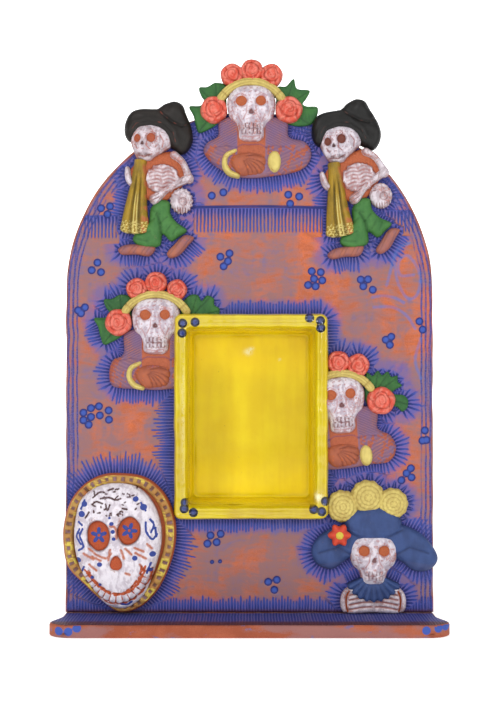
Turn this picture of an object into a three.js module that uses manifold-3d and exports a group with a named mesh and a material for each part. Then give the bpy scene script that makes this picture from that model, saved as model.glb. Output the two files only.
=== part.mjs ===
// Earthenware nicho: an arched clay panel on a base slab, with a glazed box niche set into it
// and moulded skeleton figures luted round it. Millimetres, +Z up, the front faces -Y.
// The origin is on the ground under the middle of the base.

import * as THREE from 'three';
import { mergeVertices } from 'three/addons/utils/BufferGeometryUtils.js';
import Module from 'manifold-3d';

const wasm = await Module();
wasm.setup();

const { degToRad } = THREE.MathUtils;

// Base slab
const baseWidth = 272;
const baseThickness = 9;
const baseFrontReach = 42; // from the panel's face forward
const baseFrontCorner = 16;
const baseBackCorner = 4;
const slabEdge = 1.5; // rounded arris of the rolled slabs

// Arched panel
const panelWidth = 258;
const panelThickness = 9;
const panelSpring = 222; // straight sides, from the base slab to the start of the arch
const archFullness = 2.06; // 2 is a true half circle, more is fuller at the shoulders
const archSteps = 28;

// Box niche
const nicheWidth = 88; // clear opening at the front
const nicheHeight = 122.6;
const nicheDepth = 50; // from the front of the frame to the back slab
const nicheSill = 75.8; // from the base slab to the clear opening
const nicheShift = 1.3; // to the right of the panel's middle
const nicheWall = 7;
const nicheBack = 8;
const nicheDraft = 1.2; // each wall leans in by this much at the back

// Raised frame round the niche
const frameHeight = 12; // proud of the panel's face
const frameLap = 2.5; // onto the panel, past the niche wall
const frameCorner = 6;
const frameRound = 3.2;
const frameWave = 0.35; // the swell that the potter's fingers left

// Clearances
const seam = 0.3; // clay joint between the pieces
const cutDepth = 3; // how far a cutting shape runs on past the face that it cuts

// Relief heights, from the panel's face
const skullRelief = 11;
const bandRelief = 9;
const roseRelief = 9;
const leafRelief = 2.6;
const shawlRelief = 5;
const cuffRelief = 8;
const handRelief = 8.5;
const hatRelief = 8;
const hornRelief = 8.5;
const legRelief = 6;
const gourdRelief = 7;
const torsoBacking = 2.2;
const boneRelief = 6;
const armRelief = 6.8;
const collarRelief = 6.5;
const plaqueRelief = 8;
const plaqueFloor = 3;
const sugarSkullRelief = 15;

// Lady figures, all pressed in one mould
const ladySkullWidth = 33.4;
const ladySkullHeight = 39.6;
const ladyBandRadius = 25.4;
const ladyBandDrop = 3.9; // centre of the band's arc below the middle of the face
const ladyBandWidth = 5;
const crownRoseRadius = 8;
const sideRoseRadius = 9.4;
const cuffWidth = 4.6;

// Sugar skull plaque
const plaqueEdge = 2.6; // rounded outer edge
const plaqueRim = 4.4; // width of the pressed band inside it
const pressCount = 28;
const pressDepth = 1.4;

// Where the figures sit
const topLadyDrop = 1.5; // middle of the face below the top of the arch
const leftLadyInset = 13; // middle of the face past the frame's left side
const leftLadyRise = 6.5; // the frame's top above the middle of the face
const rightLadyInset = 9;
const rightLadyDrop = 61.5;
const rightLadyTurn = 4.5;
const leftMusicianInset = 62.8; // from the panel's left side
const rightMusicianInset = 58.2;
const musicianRise = 80.5; // above the start of the arch
const rightMusicianTurn = 10.5;
const plaqueInset = 38.6; // from the panel's left side
const plaqueRise = 56; // above the base slab
const hatLadyInset = 42.7;
const hatLadyRise = 38.5;

// Sizes that follow from those above
const baseDepth = baseFrontReach + nicheDepth - frameHeight + nicheBack;
const panelFaceY = baseFrontReach - baseDepth / 2;
const archRadius = panelWidth / 2;
const springZ = baseThickness + panelSpring;
const panelTopZ = springZ + archRadius;
const nicheBottomZ = baseThickness + nicheSill;
const nicheTopZ = nicheBottomZ + nicheHeight;
const nicheMidZ = (nicheBottomZ + nicheTopZ) / 2;
const recess = nicheDepth - frameHeight; // from the panel's face to the back slab
const barWidth = nicheWall + frameLap;
const frameWidth = nicheWidth + 2 * barWidth;
const frameTall = nicheHeight + 2 * barWidth;

// Finishes
const finish = (color, roughness) => new THREE.MeshStandardMaterial({ color, roughness, metalness: 0 });
const bareClay = finish(0xc26a45, 0.85);
const slippedClay = finish(0x8f6f95, 0.7);
const yellowGlaze = finish(0xe0c21c, 0.15);
const whitePaint = finish(0xd8cfdc, 0.6);
const palePaint = finish(0xdcc85a, 0.6);
const rosePaint = finish(0xe8553c, 0.6);
const leafPaint = finish(0x2f7d33, 0.6);
const mauvePaint = finish(0x9a6f8e, 0.7);
const hatPaint = finish(0x231f1d, 0.5);
const hornPaint = finish(0xa8902a, 0.45);
const ochrePaint = finish(0xb8903c, 0.6);
const bluePaint = finish(0x46598f, 0.65);

// Solids from closed meshes, and back

function toSolid(geometry) {
  const bare = geometry.clone();
  bare.deleteAttribute('normal');
  bare.deleteAttribute('uv');
  const merged = mergeVertices(bare, 1e-4);
  const vertProperties = new Float32Array(merged.attributes.position.array);
  const triVerts = new Uint32Array(merged.index.array);
  return new wasm.Manifold(new wasm.Mesh({ numProp: 3, vertProperties, triVerts }));
}

function toGeometry(solid) {
  const mesh = solid.getMesh();
  const geometry = new THREE.BufferGeometry();
  geometry.setAttribute('position', new THREE.BufferAttribute(new Float32Array(mesh.vertProperties), 3));
  geometry.setIndex(new THREE.BufferAttribute(new Uint32Array(mesh.triVerts), 1));
  geometry.computeVertexNormals();
  return geometry;
}

const cut = (solid, ...tools) => tools.reduce((left, tool) => left.subtract(tool), solid);
const join = (first, ...others) => others.reduce((whole, other) => whole.add(other), first);

// Outlines in the panel's plane, anticlockwise

const toVectors = (points) => points.map(([x, y]) => new THREE.Vector2(x, y));

function anticlockwise(points) {
  return THREE.ShapeUtils.isClockWise(points) ? points.slice().reverse() : points;
}

function smoothOutline(points, count) {
  const knots = points.map(([x, y]) => new THREE.Vector3(x, y, 0));
  const curve = new THREE.CatmullRomCurve3(knots, true, 'centripetal');
  const spaced = curve.getSpacedPoints(count).slice(0, -1);
  return anticlockwise(spaced.map((point) => new THREE.Vector2(point.x, point.y)));
}

const sharpOutline = (points) => anticlockwise(toVectors(points));

function mirrored(half) {
  const other = half.filter(([x]) => x !== 0).map(([x, y]) => [-x, y]);
  return [...half, ...other.reverse()];
}

const polar = ([x, y], reach, angle) => [x + reach * Math.cos(angle), y + reach * Math.sin(angle)];

function ovalOutline(halfWidth, halfHeight, count, [x, y] = [0, 0]) {
  return Array.from({ length: count }, (_, i) => {
    const angle = (2 * Math.PI * i) / count;
    return new THREE.Vector2(x + halfWidth * Math.cos(angle), y + halfHeight * Math.sin(angle));
  });
}

// The same outline, moved outwards by a gap all round
function swell(points, gap) {
  if (gap === 0) return points;
  return points.map((point, i) => {
    const before = points[(i + points.length - 1) % points.length];
    const after = points[(i + 1) % points.length];
    const along = after.clone().sub(before).normalize();
    return new THREE.Vector2(point.x + along.y * gap, point.y - along.x * gap);
  });
}

// A closed skin over rings that hold the same number of points, with a fan over each end
function loft(rings, firstTip, lastTip) {
  const count = rings[0].length;
  const middle = (ring) => ring.reduce((sum, p) => sum.add(p), new THREE.Vector3()).divideScalar(count);
  const points = [...rings.flat(), firstTip ?? middle(rings[0]), lastTip ?? middle(rings.at(-1))];
  const first = rings.length * count;
  const faces = [];
  for (let j = 0; j < count; j++) {
    const next = (j + 1) % count;
    faces.push([first, next, j]);
    for (let i = 0; i + 1 < rings.length; i++) {
      const [a, b] = [i * count + j, i * count + next];
      faces.push([a, b, b + count], [a, b + count, a + count]);
    }
    faces.push([first - count + j, first - count + next, first + 1]);
  }
  const volumes = faces.map(([a, b, c]) => points[a].dot(points[b].clone().cross(points[c])));
  const outward = volumes.reduce((sum, volume) => sum + volume, 0) > 0;
  const coordinates = points.flatMap((p) => p.toArray());
  const geometry = new THREE.BufferGeometry();
  geometry.setAttribute('position', new THREE.Float32BufferAttribute(coordinates, 3));
  geometry.setIndex(faces.flatMap(([a, b, c]) => (outward ? [a, b, c] : [a, c, b])));
  return geometry;
}

// An outline scaled about a point, at a height
const scaledRing = (points, [cx, cy], scale, z) =>
  points.map((p) => new THREE.Vector3(cx + (p.x - cx) * scale, cy + (p.y - cy) * scale, z));

// Where a piece starts. With a gap, the space for it starts lower: in the panel, or in the piece beneath.
const lowEnd = (base, gap) => (gap === 0 ? base : base - (base > seam ? gap : cutDepth));

// A sprig with a flat back and a crowned top, or with a gap the plain block that is cut away for it
function mound({ points, centre = [0, 0], base = seam, edge = 1.4, height, steps = 2, flat = 0.7, gap = 0 }) {
  const rim = swell(points, gap);
  const low = lowEnd(base, gap);
  const rings = [scaledRing(rim, centre, 1, low)];
  if (gap > 0) return loft([...rings, scaledRing(rim, centre, 1, height + cutDepth)]);
  for (let i = 0; i < steps; i++) {
    const angle = (Math.PI / 2) * (i / steps);
    const rise = (height - base - edge) * Math.sin(angle) ** flat;
    rings.push(scaledRing(rim, centre, Math.cos(angle), base + edge + rise));
  }
  return loft(rings, new THREE.Vector3(...centre, low), new THREE.Vector3(...centre, height));
}

// A half-round clay coil along a path in the panel's plane
function coil({ path, steps = 6, width, base = seam, height, sides = 5, gap = 0, ends = 0.6 }) {
  const curve = new THREE.CatmullRomCurve3(path.map(([x, y]) => new THREE.Vector3(x, y, 0)));
  const low = lowEnd(base, gap);
  const rings = [];
  for (let i = 0; i <= steps; i++) {
    const t = i / steps;
    const along = curve.getTangentAt(t);
    const tip = i === 0 || i === steps;
    const spot = curve.getPointAt(t);
    if (tip) spot.addScaledVector(along, i === 0 ? -gap : gap);
    const half = (width(t) / 2) * (tip ? ends : 1) + gap;
    const rise = (height(t) - base) * (tip ? ends : 1);
    const arc = Array.from({ length: sides }, (_, j) => Math.PI * ((j + 0.5) / sides));
    const crown = arc.map((angle) => [Math.cos(angle) * half, base + rise * Math.sin(angle) ** 0.7]);
    const block = [[half, height(t) + cutDepth], [-half, height(t) + cutDepth]];
    const section = [[half, low], ...(gap > 0 ? block : crown), [-half, low]];
    rings.push(section.map(([w, z]) => new THREE.Vector3(spot.x - along.y * w, spot.y + along.x * w, z)));
  }
  return loft(rings);
}

// A tapered pocket to cut down to a floor
function pocket({ points, floor, top, taper = 0.75 }) {
  const { x, y } = points.reduce((sum, p) => sum.add(p), new THREE.Vector2()).divideScalar(points.length);
  const mouth = 1 + (1 - taper) / 2;
  return loft([scaledRing(points, [x, y], taper, floor), scaledRing(points, [x, y], mouth, top)]);
}

// A straight groove with sloping sides, from one point to another
function groove({ from, to, width, floor, top }) {
  const [a, b] = toVectors([from, to]);
  const run = b.clone().sub(a);
  const across = new THREE.Vector2(-run.y, run.x).setLength(width / 2);
  const points = [a.clone().add(across), a.clone().sub(across), b.clone().sub(across), b.clone().add(across)];
  return pocket({ points: anticlockwise(points), floor, top, taper: 0.8 });
}

// A rose whose petals wind outwards in one spiral, each turn a step lower than the one inside it
function rose({ centre, radius, base = seam, height, turns = 2, count = 14, steps = 4, gap = 0 }) {
  const low = lowEnd(base, gap);
  const spot = (scale, i, z) => {
    const angle = (2 * Math.PI * i) / count;
    const reach = (radius * (1 + 0.05 * Math.cos(5 * angle)) + gap) * scale;
    return new THREE.Vector3(...polar(centre, reach, angle), z);
  };
  const ring = (scale, z) => Array.from({ length: count }, (_, i) => spot(scale, i, z(i)));
  if (gap > 0) return loft([ring(1, () => low), ring(1, () => height + cutDepth)]);
  const rings = [ring(1, () => low)];
  for (let k = 0; k < steps; k++) {
    const scale = 1 - k / steps;
    const lip = (i) => (turns * scale + i / count) % 1;
    const rise = (height - base) * (0.5 + 0.5 * Math.sqrt(1 - scale ** 2));
    rings.push(ring(scale, (i) => base + rise * (0.8 + 0.2 * lip(i))));
  }
  return loft(rings, new THREE.Vector3(...centre, low), new THREE.Vector3(...centre, height * 0.86));
}

// Figures: each has a group on the panel's face, and its pieces are cut there, in the panel's plane

const nicho = new THREE.Group();
const panelFace = new THREE.Group();
panelFace.position.y = panelFaceY;
panelFace.rotation.x = Math.PI / 2;
nicho.add(panelFace);

function figureAt(x, z, turn = 0) {
  const figure = new THREE.Group();
  figure.position.set(x, z, 0);
  figure.rotation.z = degToRad(turn);
  figure.updateMatrix();
  panelFace.add(figure);
  figure.userData.place = (geometry) => toSolid(geometry.applyMatrix4(figure.matrix));
  return figure;
}

function addPiece(figure, name, solid, material) {
  const geometry = toGeometry(solid).applyMatrix4(figure.matrix.clone().invert());
  const mesh = new THREE.Mesh(geometry, material);
  mesh.name = name;
  figure.add(mesh);
}

// Slabs of the body

function archShape() {
  const shape = new THREE.Shape();
  shape.moveTo(-archRadius, baseThickness + seam);
  shape.lineTo(archRadius, baseThickness + seam);
  for (let i = 0; i <= archSteps; i++) {
    const angle = (Math.PI * i) / archSteps;
    const full = (value) => Math.sign(value) * Math.abs(value) ** (2 / archFullness);
    shape.lineTo(archRadius * full(Math.cos(angle)), springZ + archRadius * full(Math.sin(angle)));
  }
  const hole = new THREE.Path();
  const half = nicheWidth / 2 + nicheWall + seam;
  const [bottom, top] = [nicheBottomZ - nicheWall - seam, nicheTopZ + nicheWall + seam];
  hole.moveTo(nicheShift - half, bottom);
  hole.lineTo(nicheShift - half, top);
  hole.lineTo(nicheShift + half, top);
  hole.lineTo(nicheShift + half, bottom);
  shape.holes.push(hole);
  return shape;
}

// A rectangle about the origin. Its corners' radii run anticlockwise from the right one at the top.
function roundedRectangle(halfWidth, halfHeight, radii) {
  const shape = new THREE.Shape();
  radii.forEach((radius, i) => {
    const x = (halfWidth - radius) * (i === 0 || i === 3 ? 1 : -1);
    const y = (halfHeight - radius) * (i < 2 ? 1 : -1);
    shape.absarc(x, y, radius, (i * Math.PI) / 2, ((i + 1) * Math.PI) / 2);
  });
  return shape;
}

// A rolled slab whose arrises are bevelled
function slab(shape, thickness) {
  const geometry = new THREE.ExtrudeGeometry(shape, {
    depth: thickness - 2 * slabEdge,
    bevelSize: slabEdge,
    bevelThickness: slabEdge,
    bevelOffset: -slabEdge,
    bevelSegments: 1,
    curveSegments: 4,
  });
  return geometry.translate(0, 0, slabEdge);
}

function addPanel() {
  const geometry = slab(archShape(), panelThickness).translate(0, 0, -panelThickness);
  const panel = new THREE.Mesh(geometry, slippedClay);
  panel.name = 'back_panel';
  panelFace.add(panel);
}

function addBase() {
  const radii = [baseBackCorner, baseBackCorner, baseFrontCorner, baseFrontCorner];
  const geometry = slab(roundedRectangle(baseWidth / 2, baseDepth / 2, radii), baseThickness);
  const base = new THREE.Mesh(geometry, bareClay);
  base.name = 'base_plate';
  nicho.add(base);
}

// Niche walls: each is a wedge in section, thicker at the back by its draft
function addNicheWall(name, length, x, z, turn) {
  const depth = recess - seam;
  const shape = new THREE.Shape();
  shape.moveTo(0, 0);
  shape.lineTo(nicheWall, 0);
  shape.lineTo(nicheWall, -depth);
  shape.lineTo(-nicheDraft, -depth);
  const geometry = new THREE.ExtrudeGeometry(shape, { depth: length, bevelEnabled: false });
  geometry.translate(0, 0, -length / 2);
  geometry.rotateX(Math.PI / 2);
  const wall = new THREE.Mesh(geometry, yellowGlaze);
  wall.name = name;
  const side = new THREE.Group();
  side.position.set(x, z, 0);
  side.rotation.z = turn;
  side.add(wall);
  panelFace.add(side);
}

function addNicheBox() {
  const [halfWidth, halfHeight] = [nicheWidth / 2, nicheHeight / 2];
  const sideLength = nicheHeight - 2 * seam - 2 * nicheDraft;
  const fullLength = nicheWidth + 2 * nicheWall;
  const fullHeight = nicheHeight + 2 * nicheWall;
  addNicheWall('niche_right_wall', sideLength, nicheShift + halfWidth, nicheMidZ, 0);
  addNicheWall('niche_top_wall', fullLength, nicheShift, nicheMidZ + halfHeight, Math.PI / 2);
  addNicheWall('niche_left_wall', sideLength, nicheShift - halfWidth, nicheMidZ, Math.PI);
  addNicheWall('niche_bottom_wall', fullLength, nicheShift, nicheMidZ - halfHeight, -Math.PI / 2);
  const back = new THREE.Mesh(new THREE.BoxGeometry(fullLength, fullHeight, nicheBack), yellowGlaze);
  back.name = 'niche_back';
  back.position.set(nicheShift, nicheMidZ, -recess - nicheBack / 2);
  panelFace.add(back);
}

// Frame: four finger-smoothed bars that meet in mitres, with the outer corners rounded off

function frameBar(innerHalf) {
  const stations = 6;
  const rings = [];
  for (let i = 0; i <= stations; i++) {
    const s = (2 * i) / stations - 1;
    const tall = frameHeight - frameWave * (1 + Math.sin(innerHalf + 7 * s));
    const wide = barWidth - frameWave * (1 + Math.cos(innerHalf + 5 * s));
    const section = [
      [0, seam],
      [wide, seam],
      [wide, tall - frameRound],
      [wide - frameRound * 0.3, tall - frameRound * 0.3],
      [wide - frameRound, tall],
      [frameRound, tall],
      [frameRound * 0.3, tall - frameRound * 0.3],
      [0, tall - frameRound],
    ];
    const reach = (across) => s * (innerHalf + across - seam / 2);
    rings.push(section.map(([across, up]) => new THREE.Vector3(reach(across), across, up)));
  }
  return loft(rings);
}

const frame = figureAt(nicheShift, nicheMidZ);
const frameBlock = (grow) =>
  new THREE.ExtrudeGeometry(
    roundedRectangle(frameWidth / 2 + grow, frameTall / 2 + grow, Array(4).fill(frameCorner + grow)),
    { depth: frameHeight + 2 * cutDepth, bevelEnabled: false, curveSegments: 3 },
  ).translate(0, 0, -cutDepth);

// The spaces that the figures keep clear of
const frameSpace = frame.userData.place(frameBlock(seam));
const baseSpace = toSolid(new THREE.BoxGeometry(baseWidth, 2 * (baseThickness + seam), 2 * baseFrontReach));

function addFrame() {
  const place = frame.userData.place;
  const block = place(frameBlock(0));
  const bars = [
    ['frame_top_bar', nicheWidth, nicheHeight, 0],
    ['frame_left_bar', nicheHeight, nicheWidth, Math.PI / 2],
    ['frame_bottom_bar', nicheWidth, nicheHeight, Math.PI],
    ['frame_right_bar', nicheHeight, nicheWidth, -Math.PI / 2],
  ];
  for (const [name, length, opening, turn] of bars) {
    const bar = frameBar(length / 2).translate(0, opening / 2, 0).rotateZ(turn);
    addPiece(frame, name, place(bar).intersect(block), yellowGlaze);
  }
}

// Skulls: a crowned relief with sockets, a nose and two rows of teeth

function skullOutline(width, height, count = 20) {
  const [w, h] = [width / 2, height / 2];
  const half = [
    [0, h * 0.97],
    [w * 0.5, h * 0.93],
    [w * 0.82, h * 0.76],
    [w, h * 0.43],
    [w * 0.98, h * 0.08],
    [w * 0.86, -h * 0.24],
    [w * 0.6, -h * 0.5],
    [w * 0.54, -h * 0.68],
    [w * 0.5, -h * 0.92],
    [w * 0.3, -h * 1.03],
    [0, -h * 1.04],
  ];
  return smoothOutline(mirrored(half), count);
}

function toothRows({ centre: [x, y], width, height, count, floor, top }) {
  const lines = [groove({ from: [x - width / 2, y], to: [x + width / 2, y], width: 0.9, floor, top })];
  for (let i = 0; i < count; i++) {
    const across = x - width / 2 + (width * (i + 0.5)) / count;
    const [from, to] = [[across, y - height / 2], [across, y + height / 2]];
    lines.push(groove({ from, to, width: 0.8, floor, top }));
  }
  return lines;
}

function skull(place, { width, height, relief, gap = 0 }) {
  const points = skullOutline(width, height);
  const centre = [0, height * 0.06];
  const head = place(mound({ points, centre, height: relief, steps: 3, gap, flat: 0.6 }));
  if (gap > 0) return head;
  const [w, h] = [width / 2, height / 2];
  const top = relief + cutDepth;
  const hollows = [-1, 1].map((side) => {
    const points = ovalOutline(w * 0.25, h * 0.21, 8, [side * w * 0.42, h * 0.34]);
    return pocket({ points, floor: relief * 0.6, top });
  });
  const nose = sharpOutline([[0, h * 0.1], [-1.9, -h * 0.1], [1.9, -h * 0.1]]);
  hollows.push(pocket({ points: nose, floor: relief * 0.7, top }));
  const jaw = { centre: [0, -h * 0.62], width: w * 0.85, height: h * 0.4, count: 3 };
  const teeth = toothRows({ ...jaw, floor: relief * 0.58, top });
  return cut(head, ...[...hollows, ...teeth].map(place));
}

// Lady mould. The middle of the face is the origin.

const ladyParts = {
  skull: (place, gap) =>
    skull(place, { width: ladySkullWidth, height: ladySkullHeight, relief: skullRelief, gap }),
  headband: (place, gap) => {
    const spread = degToRad(57);
    const path = Array.from({ length: 9 }, (_, i) =>
      polar([0, -ladyBandDrop], ladyBandRadius, Math.PI / 2 + spread * (1 - i / 4)),
    );
    const [width, height] = [() => ladyBandWidth, () => bandRelief];
    return place(coil({ path, steps: 8, width, height, sides: 4, gap, ends: 0.8 }));
  },
  leftRose: (place, gap) => place(sideRose(-1, gap)),
  rightRose: (place, gap) => place(sideRose(1, gap)),
  hands: (place, gap) => {
    const points = smoothOutline(
      [
        [-15, -35], [-12.5, -30], [-6, -27.8], [3, -28], [10, -30.5], [10.7, -35], [8.5, -42], [0, -44],
        [-9, -43.4],
      ],
      15,
    );
    const hand = place(mound({ points, centre: [-3, -36], height: handRelief, gap }));
    if (gap > 0) return hand;
    const [floor, top] = [handRelief * 0.62, handRelief + cutDepth];
    const fingers = [-66, -46, -26].map((degrees) => {
      const ray = (reach) => polar([-6, -31], reach, degToRad(degrees));
      return place(groove({ from: ray(6), to: ray(17), width: 0.9, floor, top }));
    });
    return cut(hand, ...fingers);
  },
  leftCuff: (place, gap) => {
    const path = [[-11, -26.6], [-17.2, -30], [-18.6, -36], [-15.4, -41.6], [-9.5, -44]];
    const width = (t) => cuffWidth * (0.55 + 0.45 * Math.sin(Math.PI * t));
    return place(coil({ path, steps: 5, width, height: () => cuffRelief, gap }));
  },
  rightCuff: (place, gap) => {
    const centre = [16.1, -34.3];
    const points = ovalOutline(cuffWidth * 1.1, cuffWidth * 1.68, 12, centre);
    return place(mound({ points, centre, height: cuffRelief, gap }));
  },
  shawl: (place, gap) => {
    const points = smoothOutline(
      [
        [-24.4, -6], [-23.8, -18], [-32.5, -23], [-36, -32], [-30, -41.5], [-16, -44.8], [0, -45.4],
        [16, -44], [31, -42.5], [36.2, -34], [33, -25], [24.4, -19], [24.8, -6], [10, -2], [-10, -2],
      ],
      26,
    );
    return place(mound({ points, centre: [0, -25], height: shawlRelief, edge: 2, steps: 1, gap }));
  },
};

function sideRose(side, gap) {
  const centre = [side * (ladySkullWidth / 2 + sideRoseRadius), 1.8];
  return rose({ centre, radius: sideRoseRadius, base: leafRelief + seam, height: roseRelief, gap });
}

function crownRoses(place, angles, gap = 0) {
  const reach = ladyBandRadius + ladyBandWidth / 2 + crownRoseRadius * 0.62;
  const shape = { radius: crownRoseRadius, height: roseRelief * 0.9, count: 12, steps: 3, gap };
  const blooms = angles.map((degrees) => {
    const centre = polar([0, -ladyBandDrop], reach, degToRad(degrees));
    return place(rose({ ...shape, centre }));
  });
  return join(...blooms);
}

const leafSides = {
  left: {
    centre: [-27, 4],
    points: [
      [-17.5, 12], [-18, 19.5], [-25, 21.3], [-31, 18.4], [-36.5, 17.8], [-35, 12], [-32.8, 8.6],
      [-35.5, 5.4], [-43.4, 4.6], [-40.6, -1.5], [-39, -8], [-36.6, -13.6], [-30.5, -11.6], [-24, -7.5],
      [-18, 0],
    ],
  },
  right: {
    centre: [29, 5],
    points: [
      [17.5, 12], [18.5, 18.4], [24, 18.8], [29.6, 24], [31.8, 17.4], [40.8, 15.6], [38.6, 10.6],
      [36, 6.5], [38.4, 4.9], [46.3, 4], [45, -4.2], [40.5, -8.2], [27, -8], [18, -1],
    ],
  },
};

const leaves = (place, { centre, points }) =>
  place(mound({ points: sharpOutline(points), centre, height: leafRelief, edge: 1 }));

// A lady on the panel. Pieces that lie over others cut their own seat, one clay joint wide.
function addLady(name, figure, { crown, sides, cuffs, clear = [] }) {
  const place = figure.userData.place;
  const whole = (part) => ladyParts[part](place, 0);
  const space = (part) => ladyParts[part](place, seam);
  const crownSpace = crownRoses(place, crown, seam);
  const roses = sides.map((side) => `${side}Rose`);
  const cuffParts = cuffs.map((side) => `${side}Cuff`);
  const add = (part, solid, material) => addPiece(figure, `${name}_${part}`, cut(solid, ...clear), material);

  add('skull', whole('skull'), whitePaint);
  add('headband', cut(whole('headband'), space('skull')), palePaint);
  add('crown_roses', cut(crownRoses(place, crown), space('headband')), rosePaint);
  add('hands', whole('hands'), bareClay);
  for (const side of sides) {
    add(`${side}_rose`, cut(whole(`${side}Rose`), space('skull'), space('headband')), rosePaint);
  }
  for (const side of cuffs) {
    add(`${side}_cuff`, cut(whole(`${side}Cuff`), space('hands')), palePaint);
  }
  const over = ['skull', 'hands', ...roses, ...cuffParts].map(space);
  add('shawl', cut(whole('shawl'), ...over), mauvePaint);
  const beside = [space('skull'), space('headband'), space('shawl'), crownSpace];
  return { add, beside, place };
}

// Musician mould: a skeleton strides to the left and blows a horn that hangs down

const bone = (place, { path, width, height = boneRelief, steps = 2, gap }) =>
  place(coil({ path, steps, width: () => width, height: () => height, sides: 3, gap }));

const musicianParts = {
  skull: (place, gap) => {
    const points = smoothOutline(
      [
        [-16.7, 30], [-13, 37], [-4, 39.4], [6, 36.8], [11.8, 31], [12.2, 24.5], [6.5, 19.8], [0.5, 16],
        [-3, 13.2], [-11, 13.6], [-14.6, 20],
      ],
      20,
    );
    const height = skullRelief * 0.95;
    const head = place(mound({ points, centre: [-3, 27.5], height, steps: 3, flat: 0.6, gap }));
    if (gap > 0) return head;
    const [floor, top] = [skullRelief * 0.6, skullRelief + cutDepth];
    const hollows = [
      pocket({ points: ovalOutline(2.5, 3, 8, [-11.6, 28.3]), floor: floor * 0.75, top }),
      pocket({ points: ovalOutline(3.4, 3.5, 8, [-2, 28.4]), floor, top }),
      pocket({ points: sharpOutline([[-8, 26.6], [-9.4, 23.8], [-6.8, 23.8]]), floor, top }),
      ...toothRows({ centre: [-7.5, 17], width: 9, height: 4, count: 3, floor: floor * 0.75, top }),
    ];
    return cut(head, ...hollows.map(place));
  },
  hat: (place, gap) => {
    const points = smoothOutline(
      [
        [-20.8, 32], [-20.4, 40], [-16.5, 47], [-11, 49.4], [2.4, 50], [7, 53], [14.1, 54.8], [19.4, 52.4],
        [22, 46], [25.5, 37], [26.6, 28], [23.6, 21], [19, 18], [9, 24], [-8, 28], [-18, 27.4],
      ],
      24,
    );
    return place(mound({ points, centre: [4, 39], height: hatRelief, edge: 2.5, gap }));
  },
  horn: (place, gap) => {
    const path = [[-9.6, 13.6], [-11, -2], [-13, -20], [-13.8, -34.6]];
    const width = (t) => 8.6 + 12 * t ** 1.4;
    const base = torsoBacking + seam;
    return place(coil({ path, steps: 6, width, height: () => hornRelief, base, ends: 0.92, gap }));
  },
  gourd: (place, gap) => {
    const points = smoothOutline(
      [[15, -5], [21, -5.6], [24.8, -11], [25.4, -18], [20.5, -22], [13.5, -20.8], [10.8, -15], [12, -9]],
      12,
    );
    return place(mound({ points, centre: [18, -13.5], height: gourdRelief, gap }));
  },
  legs: (place, gap) => {
    const trousers = smoothOutline(
      [
        [4, -13.6], [10.4, -15.4], [11, -23], [15, -29], [22.4, -35], [17, -39.4], [11.4, -42.6],
        [5.6, -37.6], [3.6, -45.4], [-8, -47], [-15.2, -42], [-13, -36.6], [-4.5, -29.8], [-2.6, -19.5],
      ],
      20,
    );
    const leftShoe = smoothOutline(
      [[-24, -48.2], [-15, -45], [-4, -44.6], [-1, -48], [-5.4, -52.6], [-14, -51.6]],
      9,
    );
    const rightShoe = smoothOutline(
      [[8.8, -50], [11, -43.6], [19, -37.4], [26, -38], [24.4, -44.6], [16.6, -52.8], [11, -53.6]],
      9,
    );
    return join(
      place(mound({ points: trousers, centre: [3, -30.5], height: legRelief, gap })),
      place(mound({ points: leftShoe, centre: [-11, -48.4], height: legRelief * 0.8, gap })),
      place(mound({ points: rightShoe, centre: [16.4, -45.6], height: legRelief * 0.8, gap })),
    );
  },
  torso: (place, gap) => {
    const backing = smoothOutline(
      [
        [-2, 17], [12, 20], [19, 16], [24, 4], [20, -3], [6, -15], [-4, -14], [-20.5, -1], [-21.4, 7],
        [-17, 11],
      ],
      15,
    );
    const bones = [
      ...[9, 4.6, 0.2].map((y, i) => ({ path: [[-3.2, y], [5, y + 1.8], [14.4 - i, y + 1]], width: 3.4 })),
      { path: [[5, -5.5], [5.6, 4], [4.6, 12.5]], width: 3.6 },
      { path: [[13.6, 17.4], [19.6, 12], [23.6, 2.4], [24, 0.8]], width: 4.4, height: armRelief, steps: 3 },
      { path: [[24, 1.6], [16, -2.6], [7.6, -7.6], [0.4, -13.2]], width: 4.4, height: armRelief, steps: 3 },
      { path: [[-19, 8], [-18.2, 1], [-16.4, -2]], width: 4.8 },
    ];
    return join(
      place(mound({ points: backing, centre: [1, 2], height: torsoBacking, edge: 1, steps: 1, gap })),
      ...bones.map((shape) => bone(place, { ...shape, gap })),
    );
  },
};

function addMusician(name, figure) {
  const place = figure.userData.place;
  const whole = (part) => musicianParts[part](place, 0);
  const space = (part) => musicianParts[part](place, seam);
  const add = (part, solid, material) => addPiece(figure, `${name}_${part}`, solid, material);
  add('skull', whole('skull'), whitePaint);
  add('hat', cut(whole('hat'), space('skull')), hatPaint);
  add('horn', cut(whole('horn'), space('skull')), hornPaint);
  add('gourd', cut(whole('gourd'), space('torso')), whitePaint);
  const spaces = ['torso', 'gourd', 'horn'].map(space);
  add('legs', cut(whole('legs'), ...spaces), leafPaint);
  add('torso', cut(whole('torso'), space('skull'), space('horn'), space('hat')), whitePaint);
  return space('hat');
}

// Sugar skull on an oval plaque with a pressed rim

const plaqueOutline = smoothOutline(
  [
    [0, 42], [18, 39], [31, 28], [38, 12], [39, -5], [35, -22], [26, -40], [13, -51], [0, -53.6],
    [-12, -47], [-24, -36], [-36, -23], [-39.2, -8], [-39, 6], [-34, 23], [-24, 35], [-12, 41],
  ],
  2 * pressCount,
);
const sugarSkullOutline = smoothOutline(
  [
    [0, 35.6], [12, 33], [22, 24], [28.6, 8], [29, -8], [24, -26], [16, -42], [4, -50.4], [-8, -48],
    [-19, -37], [-27, -24], [-31, -10], [-31, 8], [-26, 25], [-14, 33.6],
  ],
  28,
);

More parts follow.
